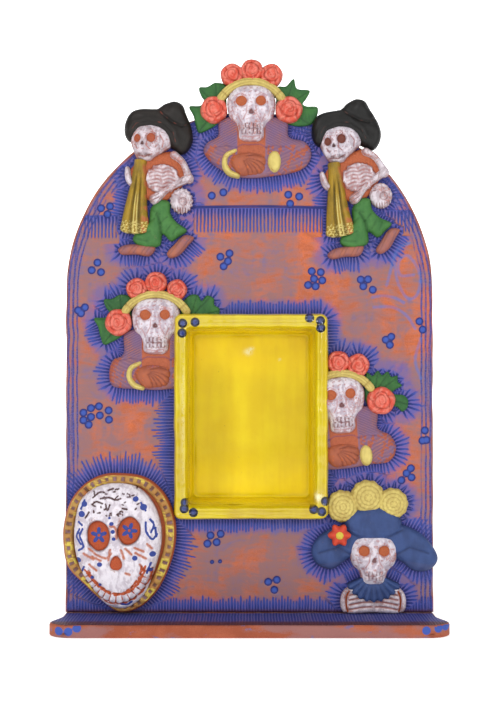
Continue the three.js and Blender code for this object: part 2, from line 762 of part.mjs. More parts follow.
// The rim's presses are dips between the spokes: every other spoke of the rim lies lower
function pressedPlaque([x, y]) {
  const dip = (i) => (i % 2 === 0 ? pressDepth : 0);
  const levels = [
    [0, () => seam],
    [0, () => plaqueRelief - plaqueEdge],
    [plaqueEdge, (i) => plaqueRelief - dip(i)],
    [plaqueEdge + plaqueRim, (i) => plaqueRelief - dip(i)],
    [plaqueEdge + plaqueRim + 1, () => plaqueRelief],
  ];
  const rings = levels.map(([inset, level]) =>
    plaqueOutline.map((p, i) => {
      const inwards = new THREE.Vector2(x, y).sub(p).setLength(inset);
      return new THREE.Vector3(p.x + inwards.x, p.y + inwards.y, level(i));
    }),
  );
  return loft(rings, new THREE.Vector3(x, y, seam), new THREE.Vector3(x, y, plaqueRelief));
}

function addPlaque(figure) {
  const place = figure.userData.place;
  const centre = [-1, -4];
  const base = plaqueFloor + seam;
  const head = { points: sugarSkullOutline, centre, base, height: sugarSkullRelief, edge: 4, steps: 3 };
  const plaque = place(pressedPlaque(centre));
  const seat = place(mound({ ...head, gap: seam }));
  addPiece(figure, 'medallion_plaque', cut(plaque, seat, frameSpace, baseSpace), ochrePaint);

  const top = sugarSkullRelief + cutDepth;
  const eyeFloor = sugarSkullRelief * 0.63;
  const hollows = [
    pocket({ points: ovalOutline(7.6, 10.2, 12, [-12.8, 1]), floor: eyeFloor, top, taper: 0.85 }),
    pocket({ points: ovalOutline(7.6, 9.6, 12, [8.2, 3.8]), floor: eyeFloor, top, taper: 0.85 }),
    pocket({ points: ovalOutline(3.6, 4.8, 8, [-0.8, -18]), floor: eyeFloor + 1, top }),
  ];
  const grin = Array.from({ length: 7 }, (_, i) => {
    const angle = degToRad(-139 + 17 * i);
    const ray = (reach) => [-1 + reach * 0.86 * Math.cos(angle), -15 + reach * Math.sin(angle)];
    return groove({ from: ray(22), to: ray(28), width: 1.2, floor: sugarSkullRelief * 0.53, top });
  });
  addPiece(figure, 'sugar_skull', cut(place(mound(head)), ...[...hollows, ...grin].map(place)), whitePaint);
}

// Lady with a wide hat, marigolds on its crown, a bloom on the brim and a pleated collar

function pleatedCollar({ centre, inner, outer, from, to, pleats, height, gap = 0 }) {
  const stations = 2 * pleats;
  const low = lowEnd(seam, gap);
  const rings = [];
  for (let i = 0; i <= stations; i++) {
    const angle = degToRad(from + ((to - from) * i) / stations);
    const crest = gap > 0 || i % 2 === 1 ? height : height * 0.65;
    const spot = (reach, z) => new THREE.Vector3(...polar(centre, reach, angle), z);
    const section = [[inner - gap, low], [outer + gap, low], [outer + gap, crest * 0.7 + gap]];
    rings.push([...section, [inner - gap, crest + gap]].map(([reach, z]) => spot(reach, z)));
  }
  return loft(rings);
}

function petals({ centre, radius, count, depth, height, base = seam, steps = 2, gap = 0 }) {
  const points = Array.from({ length: count * 2 }, (_, i) => {
    const angle = (Math.PI * i) / count;
    const reach = radius * (1 - depth * (0.5 + 0.5 * Math.cos(count * angle)));
    return new THREE.Vector2(...polar(centre, reach, angle));
  });
  return mound({ points, centre, base, height, edge: 1.6, steps, gap });
}

const hatLadyParts = {
  skull: (place, gap) => skull(place, { width: 33, height: 36, relief: skullRelief, gap }),
  flower: (place, gap) => {
    const centre = [-24, 17];
    const bloom = { centre, radius: 7, count: 6, base: hatRelief - 0.9 };
    if (gap > 0) return place(petals({ ...bloom, depth: 0, height: hatRelief + 4, gap }));
    const eye = { points: ovalOutline(2.6, 2.6, 10, centre), centre, base: hatRelief, height: hatRelief + 4 };
    return join(place(petals({ ...bloom, depth: 0.28, height: hatRelief + 2.6 })), place(mound(eye)));
  },
  hat: (place, gap) => {
    const brim = smoothOutline(
      [
        [-43, 6], [-37, 16], [-23, 22.8], [0, 25.6], [23, 22.6], [37, 14], [45, 0], [40, -7.5], [29, -8.6],
        [16, 0], [0, 4], [-16, 0.5], [-29, -7.4], [-39.6, -3.6],
      ],
      28,
    );
    const crown = { points: ovalOutline(20, 13, 16, [0, 24]), centre: [0, 26], edge: 3, gap };
    return join(
      place(mound({ points: brim, centre: [0, 14], height: hatRelief, edge: 2.2, gap })),
      place(mound({ ...crown, height: hatRelief * 1.15 })),
    );
  },
  marigolds: (place, gap) => {
    const blooms = [
      { centre: [-21.5, 36.5], radius: 11 },
      { centre: [-4, 43], radius: 11.6 },
      { centre: [13.5, 38.4], radius: 10.6 },
    ];
    const solids = blooms.map(({ centre, radius }) => {
      const skirt = { centre, radius, count: 8, depth: 0.16, height: roseRelief * 0.8, steps: 1, gap };
      const outer = place(petals(skirt));
      if (gap > 0) return outer;
      const heart = { centre, radius: radius * 0.6, count: 6, depth: 0.2, height: roseRelief * 1.15 };
      return join(outer, place(petals(heart)));
    });
    return join(...solids);
  },
  collar: (place, gap) => {
    const fan = { centre: [0, -9], inner: 6, outer: 21, from: 205, to: 335, pleats: 9 };
    return place(pleatedCollar({ ...fan, height: collarRelief, gap }));
  },
  torso: (place, gap) => {
    const chest = smoothOutline(
      [[-20, -22], [0, -14], [20, -22], [23, -30], [21, -37], [0, -37.6], [-21, -37], [-23, -30]],
      20,
    );
    const body = place(mound({ points: chest, centre: [0, -28], height: boneRelief * 0.7, steps: 1, gap }));
    const arms = [-1, 1].map((side) => {
      const path = [[side * 21, -20], [side * 25, -28], [side * 24, -36]];
      return bone(place, { path, width: 5, gap });
    });
    const ribs = [-26.6, -30.6, -34.6].map((y) => {
      const path = [[-16, y], [0, y - 1.4], [16, y]];
      return bone(place, { path, width: 2.8, gap, steps: 4 });
    });
    return join(body, ...arms, ...ribs);
  },
};

function addHatLady(figure) {
  const place = figure.userData.place;
  const whole = (part) => hatLadyParts[part](place, 0);
  const space = (part) => hatLadyParts[part](place, seam);
  const add = (part, solid, material) =>
    addPiece(figure, `hat_lady_${part}`, cut(solid, frameSpace, baseSpace), material);
  add('skull', whole('skull'), whitePaint);
  add('flower', whole('flower'), rosePaint);
  add('hat', cut(whole('hat'), space('skull'), space('flower')), bluePaint);
  add('marigolds', cut(whole('marigolds'), space('hat'), space('flower')), palePaint);
  add('collar', cut(whole('collar'), space('skull')), bluePaint);
  add('torso', cut(whole('torso'), space('skull'), space('collar')), whitePaint);
}

// Assembly

addBase();
addPanel();
addNicheBox();
addFrame();

const frameLeft = nicheShift - frameWidth / 2;
const frameRight = nicheShift + frameWidth / 2;
const frameTop = nicheMidZ + frameTall / 2;

addMusician('left_musician', figureAt(leftMusicianInset - archRadius, springZ + musicianRise));
const rightMusician = figureAt(archRadius - rightMusicianInset, springZ + musicianRise, rightMusicianTurn);
const rightHatSpace = addMusician('right_musician', rightMusician);

const topLady = addLady('top_lady', figureAt(nicheShift, panelTopZ - topLadyDrop), {
  crown: [114, 89.5, 65],
  sides: ['left', 'right'],
  cuffs: ['left', 'right'],
});
const leavesOf = (lady, side) => leaves(lady.place, leafSides[side]);
topLady.add('left_leaves', cut(leavesOf(topLady, 'left'), ...topLady.beside), leafPaint);
topLady.add('right_leaves', cut(leavesOf(topLady, 'right'), ...topLady.beside, rightHatSpace), leafPaint);

const leftLady = addLady('left_lady', figureAt(frameLeft - leftLadyInset, frameTop - leftLadyRise), {
  crown: [114, 89.5, 65],
  sides: ['left'],
  cuffs: ['left'],
  clear: [frameSpace],
});
leftLady.add('left_leaves', cut(leavesOf(leftLady, 'left'), ...leftLady.beside), leafPaint);
leftLady.add('right_leaves', cut(leavesOf(leftLady, 'right'), ...leftLady.beside), leafPaint);

const rightLadyFigure = figureAt(frameRight + rightLadyInset, frameTop - rightLadyDrop, rightLadyTurn);
const rightLady = addLady('right_lady', rightLadyFigure, {
  crown: [89.5, 65],
  sides: ['right'],
  cuffs: ['right'],
  clear: [frameSpace],
});
rightLady.add('leaves', cut(leavesOf(rightLady, 'right'), ...rightLady.beside), leafPaint);

addPlaque(figureAt(plaqueInset - archRadius, baseThickness + plaqueRise));
addHatLady(figureAt(archRadius - hatLadyInset, baseThickness + hatLadyRise));

export default nicho;
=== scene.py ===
# Looks of an earthenware nicho: combed blue slip on burnished clay, a glazed yellow niche, painted sprigs.
# Each figure is laid out in millimetres in its own plane on the panel's face, x to the right and y up.
import math
import bpy
import numpy as np
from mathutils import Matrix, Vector
from mathutils.kdtree import KDTree


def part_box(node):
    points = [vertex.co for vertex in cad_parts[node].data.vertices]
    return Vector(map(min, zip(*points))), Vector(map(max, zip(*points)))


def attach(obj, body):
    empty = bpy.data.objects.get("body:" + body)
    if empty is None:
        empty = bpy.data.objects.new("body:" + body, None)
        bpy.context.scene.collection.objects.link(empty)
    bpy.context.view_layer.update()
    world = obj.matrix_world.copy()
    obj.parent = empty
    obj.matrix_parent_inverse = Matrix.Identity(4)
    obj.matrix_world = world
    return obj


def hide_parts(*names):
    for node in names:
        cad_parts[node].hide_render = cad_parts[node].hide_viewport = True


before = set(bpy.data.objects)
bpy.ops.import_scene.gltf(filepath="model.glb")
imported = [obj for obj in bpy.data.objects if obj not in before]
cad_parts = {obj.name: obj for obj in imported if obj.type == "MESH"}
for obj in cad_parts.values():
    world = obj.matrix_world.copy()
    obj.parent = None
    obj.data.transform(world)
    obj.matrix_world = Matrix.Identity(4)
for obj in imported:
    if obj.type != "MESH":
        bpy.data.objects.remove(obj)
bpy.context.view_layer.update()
panelLow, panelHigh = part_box("back_panel")
panelFaceY = panelLow.y * 1000

# Camera, a little higher than the middle of the niche

view = {"distance": 0.84, "height": 0.172, "lens": 60, "shiftX": 0.0007, "shiftY": 0.0278}
cameraData = bpy.data.cameras.new("camera")
cameraData.lens = view["lens"]
cameraData.sensor_width = 36
cameraData.shift_x = view["shiftX"]
cameraData.shift_y = view["shiftY"]
cameraData.clip_start = 0.01
camera = bpy.data.objects.new("camera", cameraData)
camera.location = (0, panelLow.y - view["distance"], view["height"])
camera.rotation_euler = (math.radians(90), 0, 0)
bpy.context.scene.collection.objects.link(camera)
bpy.context.scene.camera = camera


# Materials

# The light of a colour that is written as six hexadecimal digits
def linear(hexColour):
    parts = [int(hexColour[i:i + 2], 16) / 255 for i in (0, 2, 4)]
    return tuple(p / 12.92 if p <= 0.04045 else ((p + 0.055) / 1.055) ** 2.4 for p in parts) + (1,)


class Wire:
    def __init__(self, paint, socket):
        self.paint = paint
        self.socket = socket

    def math(self, operation, *others, clamp=False):
        node = self.paint.node("ShaderNodeMath", {"operation": operation, "use_clamp": clamp},
                               [self, *others])
        return self.paint.out(node)

    def __add__(self, other):
        return self.math("ADD", other)

    __radd__ = __add__

    def __sub__(self, other):
        return self.math("SUBTRACT", other)

    def __rsub__(self, other):
        return self.paint.wire(other).math("SUBTRACT", self)

    def __mul__(self, other):
        return self.math("MULTIPLY", other)

    __rmul__ = __mul__

    def __truediv__(self, other):
        return self.math("DIVIDE", other)

    def __abs__(self):
        return self.math("ABSOLUTE")

    def top(self, other):
        return self.math("MAXIMUM", other)

    def fract(self):
        return self.math("FRACT")

    def floor(self):
        return self.math("FLOOR")

    def clamp(self):
        return self.math("ADD", 0.0, clamp=True)

    # 0 below the first value and 1 above the second, or the other way round when the first is larger
    def step(self, low, high):
        node = self.paint.node("ShaderNodeMapRange", {"interpolation_type": "SMOOTHSTEP"},
                               {"Value": self, "From Min": low, "From Max": high})
        return self.paint.out(node)


class Paint:
    def __init__(self, name):
        self.material = bpy.data.materials.new(name)
        self.material.use_nodes = True
        self.tree = self.material.node_tree
        self.tree.nodes.clear()
        output = self.tree.nodes.new("ShaderNodeOutputMaterial")
        self.shader = self.tree.nodes.new("ShaderNodeBsdfPrincipled")
        self.tree.links.new(self.shader.outputs[0], output.inputs[0])
        spots = self.node("ShaderNodeTexCoord")
        self.place = self.out(spots, "Object")
        self.normal = self.out(spots, "Normal")

    def node(self, kind, settings=None, inputs=None):
        node = self.tree.nodes.new(kind)
        for key, value in (settings or {}).items():
            setattr(node, key, value)
        pairs = enumerate(inputs) if isinstance(inputs, list) else (inputs or {}).items()
        for key, value in pairs:
            self.feed(node, key, value)
        return node

    def feed(self, node, key, value):
        if isinstance(value, Wire):
            self.tree.links.new(value.socket, node.inputs[key])
        else:
            node.inputs[key].default_value = linear(value) if isinstance(value, str) else value

    def out(self, node, key=0):
        return Wire(self, node.outputs[key])

    def wire(self, value):
        if isinstance(value, Wire):
            return value
        node = self.tree.nodes.new("ShaderNodeValue")
        node.outputs[0].default_value = value
        return Wire(self, node.outputs[0])

    def mix(self, factor, first, second, blend="MIX"):
        node = self.node("ShaderNodeMix", {"data_type": "RGBA", "blend_type": blend},
                         {0: factor, 6: first, 7: second})
        return self.out(node, 2)

    def noise(self, scale, detail=3, stretch=(1, 1, 1), rough=0.55, place=None):
        spot = self.out(self.node("ShaderNodeVectorMath", {"operation": "MULTIPLY"},
                                  [place or self.place, stretch]))
        node = self.node("ShaderNodeTexNoise", None,
                         {"Vector": spot, "Scale": scale, "Detail": detail, "Roughness": rough})
        return self.out(node)

    # Object coordinates in metres pushed about by noise, for brush swirls
    def swirl(self, scale, amount):
        node = self.node("ShaderNodeTexNoise", None, {"Vector": self.place, "Scale": scale, "Detail": 2.0})
        push = self.node("ShaderNodeVectorMath", {"operation": "SUBTRACT"},
                         [self.out(node, 1), (0.5, 0.5, 0.5)])
        push = self.node("ShaderNodeVectorMath", {"operation": "SCALE"}, {0: self.out(push), "Scale": amount})
        return self.out(self.node("ShaderNodeVectorMath", {"operation": "ADD"}, [self.place, self.out(push)]))

    def value(self, name):
        return self.out(self.node("ShaderNodeAttribute", {"attribute_name": name}), "Fac")

    def parts(self, vector=None):
        node = self.node("ShaderNodeSeparateXYZ", None, [vector or self.place])
        return [self.out(node, i) for i in range(3)]

    def finish(self, colour, roughness, relief=None, depth=0.0002, **fixed):
        self.feed(self.shader, "Base Color", colour)
        self.feed(self.shader, "Roughness", roughness)
        for key, value in fixed.items():
            self.feed(self.shader, key.replace("_", " "), value)
        if relief is not None:
            bump = self.node("ShaderNodeBump", None, {"Distance": depth, "Height": relief})
            self.feed(self.shader, "Normal", self.out(bump))
        return self.material


terracotta = "ab5a37"
deepClay = "6b3322"


# Slip or paint over clay: it wears thin on crests and at rims, and its hollows are painted darker as shade.
# accent is bare clay or a second paint, and on the roses and the horn a painted highlight; line is ink in
# creases, and on the roses painted shade; chalk is paler dabs, tint is a stain, stroke is painted marks, and
# glint is a painted highlight
def paintedClay(name, colour, shade, worn=0.3, gloss=0.55, accent="b05c38", line="70301f", hollowShade="8a5a4c",
                hollowShadeAmount=0.4, grain=1.0, stroke=None, glint=None, under="ab5a37", chalk=None, tint=None):
    paint = Paint(name)
    cavity = paint.value("cavity")
    accentMask = paint.value("accent").step(0.35, 0.65)
    lineMask = paint.value("line").clamp()
    broad = paint.noise(90, 4)
    patch = paint.noise(45, 3)
    fine = paint.noise(900, 5, rough=0.65)
    streak = paint.noise(260, 3, stretch=(1, 1, 0.35))
    body = paint.mix((broad * 0.6 + streak * 0.5 - 0.05).step(0.32, 0.72), colour, shade)
    thin = fine * 0.75 + broad * 0.45 + patch * 0.3 - cavity * 0.18
    thin = thin.step(0.98 - worn * 0.3, 1.08 - worn * 0.3)
    if chalk:
        dabs = paint.noise(330, 3, stretch=(1, 1, 0.45), place=paint.swirl(120, 0.006))
        body = paint.mix((dabs * 0.8 + fine * 0.25).step(0.44, 0.6) * 0.75, body, chalk)
    body = paint.mix(thin * 0.8, body, under)
    # Painted shade: the hollows of the relief are painted darker
    body = paint.mix(((cavity - 0.08).step(0.0, 0.55) * (0.5 + streak * 0.8)).clamp() * hollowShadeAmount, body, hollowShade)
    # Painted highlights: pale patches where the glint value is high
    if glint:
        body = paint.mix(paint.value("glint") * (broad * 0.6 + fine * 0.6).step(0.45, 0.62), body, glint)
    if tint:
        body = paint.mix((paint.value("tint") * (0.5 + fine)).clamp(), body, tint)
    body = paint.mix(accentMask, body, paint.mix(fine.step(0.35, 0.7) * 0.35, accent, deepClay))
    body = paint.mix((lineMask * (0.6 + fine * 0.7)).clamp(), body, line)
    if stroke:
        marks = (paint.value("stroke") + fine * 0.3 - 0.15).step(0.35, 0.6)
        ink = paint.mix(broad.step(0.35, 0.65), stroke, line) if glint else stroke
        body = paint.mix(marks, body, ink)
    body = paint.mix(paint.parts(paint.normal)[1].step(0.5, 0.8), body, terracotta)
    bumps = fine * 0.5 * grain + streak * 0.5
    return paint.finish(body, gloss - 0.08 + fine * 0.2, bumps, 0.00035 * grain, Specular_IOR_Level=0.3)


paints = {
    "skull": dict(colour="bdb1bc", shade="9f909c", worn=0.42, under="ad695a", accent="ad5a34", line="5e241f",
                  hollowShade="8c5a55", hollowShadeAmount=0.6, grain=1.8, chalk="e0dae2", tint="a0564c"),
    "darkSkull": dict(colour="bdb4be", shade="9c9099", worn=0.34, under="9d5d58", accent="6e3a30",
                      line="3c1d1b", hollowShade="7c4a48", hollowShadeAmount=0.7, grain=1.8, chalk="dcd4dc", tint="854640"),
    "pinkSkull": dict(colour="b5a7ae", shade="94858a", worn=0.5, under="9c5c50", accent="a9573a",
                      line="4a2420", hollowShade="80483c", hollowShadeAmount=0.7, grain=1.8, chalk="dad0d8", tint="9a5446"),
    "band": dict(colour="cfbd6c", shade="b5a158", worn=0.26, under="b0764a", line="86632f", hollowShade="8a6f3c",
                 hollowShadeAmount=0.5, grain=1.3),
    "rose": dict(colour="cf5340", shade="bc4432", worn=0.16, under="b06a58", accent="da7b68", line="8a2418",
                 hollowShade="96301f", hollowShadeAmount=0.6, grain=1.6, chalk="da7c6c"),
    "leaf": dict(colour="35682f", shade="24522a", worn=0.14, under="4a6a3c", accent="2d6c33", line="15341a",
                 hollowShade="173820", hollowShadeAmount=0.5),
    "shawl": dict(colour="7a5c78", shade="8c5c58", worn=0.42, under="a86244", accent="a8583a", line="45366a",
                  hollowShade="5e3a48", hollowShadeAmount=0.5),
    "hand": dict(colour="a4593c", shade="8c4c3a", worn=0.2, under="94607a", accent="c0622f", line="6a3328",
                 hollowShade="6b3322", hollowShadeAmount=0.5),
    "hat": dict(colour="130f0c", shade="1f1713", worn=0.16, gloss=0.45, under="4a2c24", accent="6e3022",
                line="050404", hollowShade="0a0807"),
    "blackHat": dict(colour="0c0b0a", shade="151312", worn=0.06, gloss=0.42, under="3a201a", accent="3a201a",
                     line="030303", hollowShade="060505"),
    "horn": dict(colour="a58424", shade="6f5a1c", worn=0.3, gloss=0.3, under="a86a44", accent="d8c878",
                 line="46380c", hollowShade="4a3c10", hollowShadeAmount=0.8, grain=2.0, tint="b0643c"),
    "trousers": dict(colour="427538", shade="30622f", worn=0.2, under="5c6a40", accent="8c4a30",
                     line="173a1a", hollowShade="1c4020", hollowShadeAmount=0.5, grain=1.3),
    "shoe": dict(colour="a0604a", shade="7d5560", worn=0.3, line="56302c", hollowShade="6b3a30",
                 hollowShadeAmount=0.5, grain=1.4),
    "bone": dict(colour="b9adb3", shade="9c8a90", worn=0.44, under="a8665a", accent="b05c38", line="6e3630",
                 hollowShade="925c54", hollowShadeAmount=0.8, grain=1.8, chalk="dcd3da", tint="a8655c"),
    "flower": dict(colour="c8452c", shade="b03420", worn=0.1, accent="c8452c", line="7a1d12",
                   stroke="c4b040"),
    "plaque": dict(colour="b08c4a", shade="a06e3a", worn=0.4, under="a8603a", accent="a9552f", line="5c3824",
                   hollowShade="7e5228", hollowShadeAmount=0.6, grain=1.3, stroke="86666e", glint="d2bc50"),
    "sugar": dict(colour="d0c8d2", shade="b4a9b4", worn=0.34, under="b0705c", accent="b5522c", line="3a0c0a",
                  hollowShade="8f625c", hollowShadeAmount=0.8, grain=1.9, stroke="33448e", chalk="ebe6ed", tint="b0603c"),
    "blue": dict(colour="34497a", shade="2a3b66", worn=0.2, under="4c5274", accent="5c5468", line="1b2546",
                 hollowShade="222c50", hollowShadeAmount=0.5, grain=1.2),
}
materials = {name: paintedClay(name, **look) for name, look in paints.items()}


# Outlines

def smooth(points, pitch=0.25):
    points = np.array(points, float)
    count = len(points)
    curve = []
    for i in range(count):
        p0, p1, p2, p3 = (points[(i + k - 1) % count] for k in range(4))
        a, b, c = (max(1e-6, np.linalg.norm(q - p) ** 0.5) for p, q in ((p0, p1), (p1, p2), (p2, p3)))
        m1 = (p2 - p1) + b * ((p1 - p0) / a - (p2 - p0) / (a + b))
        m2 = (p2 - p1) + b * ((p3 - p2) / c - (p3 - p1) / (b + c))
        t = np.linspace(0, 1, 24, endpoint=False)[:, None]
        curve.append((2 * t**3 - 3 * t**2 + 1) * p1 + (t**3 - 2 * t**2 + t) * m1
                     + (3 * t**2 - 2 * t**3) * p2 + (t**3 - t**2) * m2)
    return even(np.concatenate(curve), pitch)


def even(points, pitch=0.25):
    points = np.array(points, float)
    closed = np.vstack([points, points[:1]])
    length = np.concatenate([[0], np.cumsum(np.linalg.norm(np.diff(closed, axis=0), axis=1))])
    spots = np.linspace(0, length[-1], max(12, int(length[-1] / pitch)), endpoint=False)
    line = np.stack([np.interp(spots, length, closed[:, k]) for k in (0, 1)], 1)
    x, y = line.T
    area = np.sum(x * np.roll(y, -1) - y * np.roll(x, -1))
    return line if area > 0 else line[::-1]


def oval(cx, cy, rx, ry, pitch=0.25, turn=0, ripple=0, waves=5):
    t = np.linspace(0, math.tau, 240, endpoint=False)
    reach = 1 + ripple * np.cos(waves * t)
    c, s = math.cos(math.radians(turn)), math.sin(math.radians(turn))
    x, y = rx * reach * np.cos(t), ry * reach * np.sin(t)
    return even(np.stack([cx + c * x - s * y, cy + s * x + c * y], 1), pitch)


def mirrored(half):
    return half + [(-x, y) for x, y in reversed(half) if x != 0]


# A strip of clay along an open path, with a width at each end and in the middle
def strip(path, start, middle, end, pitch=0.25, ends=5):
    path = openCurve(path, 0.4)
    t = np.linspace(0, 1, len(path))
    half = np.where(t < 0.5, start + (middle - start) * np.sin(math.pi * t) ** 0.8,
                    end + (middle - end) * np.sin(math.pi * t) ** 0.8) / 2
    along = np.gradient(path, axis=0)
    along /= np.linalg.norm(along, axis=1)[:, None]
    side = np.stack([-along[:, 1], along[:, 0]], 1)
    left, right = path + side * half[:, None], path - side * half[:, None]
    turns = np.linspace(math.pi / 2, -math.pi / 2, ends + 2)[1:-1]
    cap = [path[-1] + half[-1] * (side[-1] * math.sin(a) + along[-1] * math.cos(a)) for a in turns]
    heel = [path[0] + half[0] * (-side[0] * math.sin(a) - along[0] * math.cos(a)) for a in turns]
    return even(np.vstack([left, cap, right[::-1], heel]), pitch)


def openCurve(points, pitch=0.4):
    points = np.array(points, float)
    if len(points) > 2:
        t = np.linspace(0, len(points) - 1, 24 * len(points))
        ends = np.vstack([2 * points[0] - points[1], points, 2 * points[-1] - points[-2]])
        i = np.minimum(t.astype(int), len(points) - 2)
        f = (t - i)[:, None]
        p0, p1, p2, p3 = (ends[i + k] for k in range(4))
        points = 0.5 * (2 * p1 + (p2 - p0) * f + (2 * p0 - 5 * p1 + 4 * p2 - p3) * f**2
                        + (3 * p1 - p0 - 3 * p2 + p3) * f**3)
    length = np.concatenate([[0], np.cumsum(np.linalg.norm(np.diff(points, axis=0), axis=1))])
    spots = np.linspace(0, length[-1], max(2, int(length[-1] / pitch) + 1))
    return np.stack([np.interp(spots, length, points[:, k]) for k in (0, 1)], 1)


# Shapes of a surface, on arrays of points

def pillow(depth, reach, rim, height):
    share = np.clip(depth / reach, 0, 1)
    return rim + (height - rim) * np.sqrt(1 - (1 - share) ** 2)


def ease(value, low, high):
    share = np.clip((value - low) / (high - low), 0, 1)
    return share * share * (3 - 2 * share)


def bell(value, width):
    return np.exp(-(value / width) ** 2)


def ellipse(x, y, cx, cy, rx, ry, turn=0):
    c, s = math.cos(math.radians(turn)), math.sin(math.radians(turn))
    u, v = (x - cx) * c + (y - cy) * s, (y - cy) * c - (x - cx) * s
    return np.sqrt((u / rx) ** 2 + (v / ry) ** 2)


def knoll(x, y, cx, cy, rx, ry, turn=0):
    return np.exp(-ellipse(x, y, cx, cy, rx, ry, turn) ** 2)


def pit(x, y, cx, cy, rx, ry, soft=0.25, turn=0):
    return ease(ellipse(x, y, cx, cy, rx, ry, turn), 1 + soft, 1 - soft)


def toPath(x, y, path):
    path = np.array(path, float)
    best = np.full(x.shape, 1e9)
    along = np.zeros(x.shape)
    start = 0
    for (ax, ay), (bx, by) in zip(path[:-1], path[1:]):
        dx, dy = bx - ax, by - ay
        length = math.hypot(dx, dy)
        t = np.clip(((x - ax) * dx + (y - ay) * dy) / max(length**2, 1e-9), 0, 1)
        gap = np.hypot(x - ax - t * dx, y - ay - t * dy)
        closer = gap < best
        best = np.where(closer, gap, best)
        along = np.where(closer, start + t * length, along)
        start += length
    return best, along


def groove(x, y, path, width):
    return bell(toPath(x, y, path)[0], width / 2)


def wobble(x, y, size, seed):
    draw = np.random.default_rng(seed)
    total = np.zeros(np.shape(x))
    for k in range(5):
        angle, phase = draw.uniform(0, math.tau, 2)
        rate = math.tau / (size * draw.uniform(0.6, 1.6))
        total += np.sin(rate * (x * math.cos(angle) + y * math.sin(angle)) + phase)
    return total / 5


# Meshes

def blur(field, mask, rounds):
    weight = mask.astype(float)
    for _ in range(rounds):
        for axis in (0, 1):
            total, share = field * weight * 2, weight * 2
            for shift in (-1, 1):
                total += np.roll(field * weight, shift, axis)
                share += np.roll(weight, shift, axis)
            field = np.where(share > 0, total / np.maximum(share, 1e-9), field)
    return field


def isInside(loops, xs, ys):
    inside = np.zeros((len(ys), len(xs)), bool)
    for loop in loops:
        ax, ay = loop.T
        bx, by = np.roll(ax, -1), np.roll(ay, -1)
        for row, y in enumerate(ys):
            hit = (ay <= y) != (by <= y)
            crossing = ax[hit] + (y - ay[hit]) / (by[hit] - ay[hit]) * (bx[hit] - ax[hit])
            inside[row] ^= (np.sum(crossing[None, :] > xs[:, None], axis=1) % 2) == 1
    return inside


def nearTree(samples):
    tree = KDTree(len(samples))
    for i, (x, y) in enumerate(samples):
        tree.insert((x, y, 0), i)
    tree.balance()
    return tree


def buildMesh(name, points, faces, material, values=None, body="root", nodes=(), sharp=55):
    mesh = bpy.data.meshes.new(name)
    mesh.from_pydata([tuple(p) for p in np.asarray(points)], [], faces)
    for key, field in (values or {}).items():
        mesh.attributes.new(key, "FLOAT", "POINT").data.foreach_set("value", np.asarray(field, np.float32))
    mesh.polygons.foreach_set("use_smooth", [len(face) < 5 for face in faces])
    mesh.set_sharp_from_angle(angle=math.radians(sharp))
    mesh.materials.append(material)
    piece = bpy.data.objects.new(name, mesh)
    bpy.context.scene.collection.objects.link(piece)
    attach(piece, body)
    if nodes:
        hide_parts(*nodes)
    return piece


def boundaryLoops(quads):
    edges = set()
    for quad in quads:
        for a, b in zip(quad, quad[1:] + quad[:1]):
            edges.add((a, b))
    onward = {}
    for a, b in edges:
        if (b, a) not in edges:
            onward.setdefault(a, []).append(b)
    loops = []
    while onward:
        start = next(iter(onward))
        loop = [start]
        spot = onward[start].pop()
        if not onward[start]:
            del onward[start]
        while spot != start:
            loop.append(spot)
            ahead = onward[spot].pop()
            if not onward[spot]:
                del onward[spot]
            spot = ahead
        loops.append(loop)
    return loops


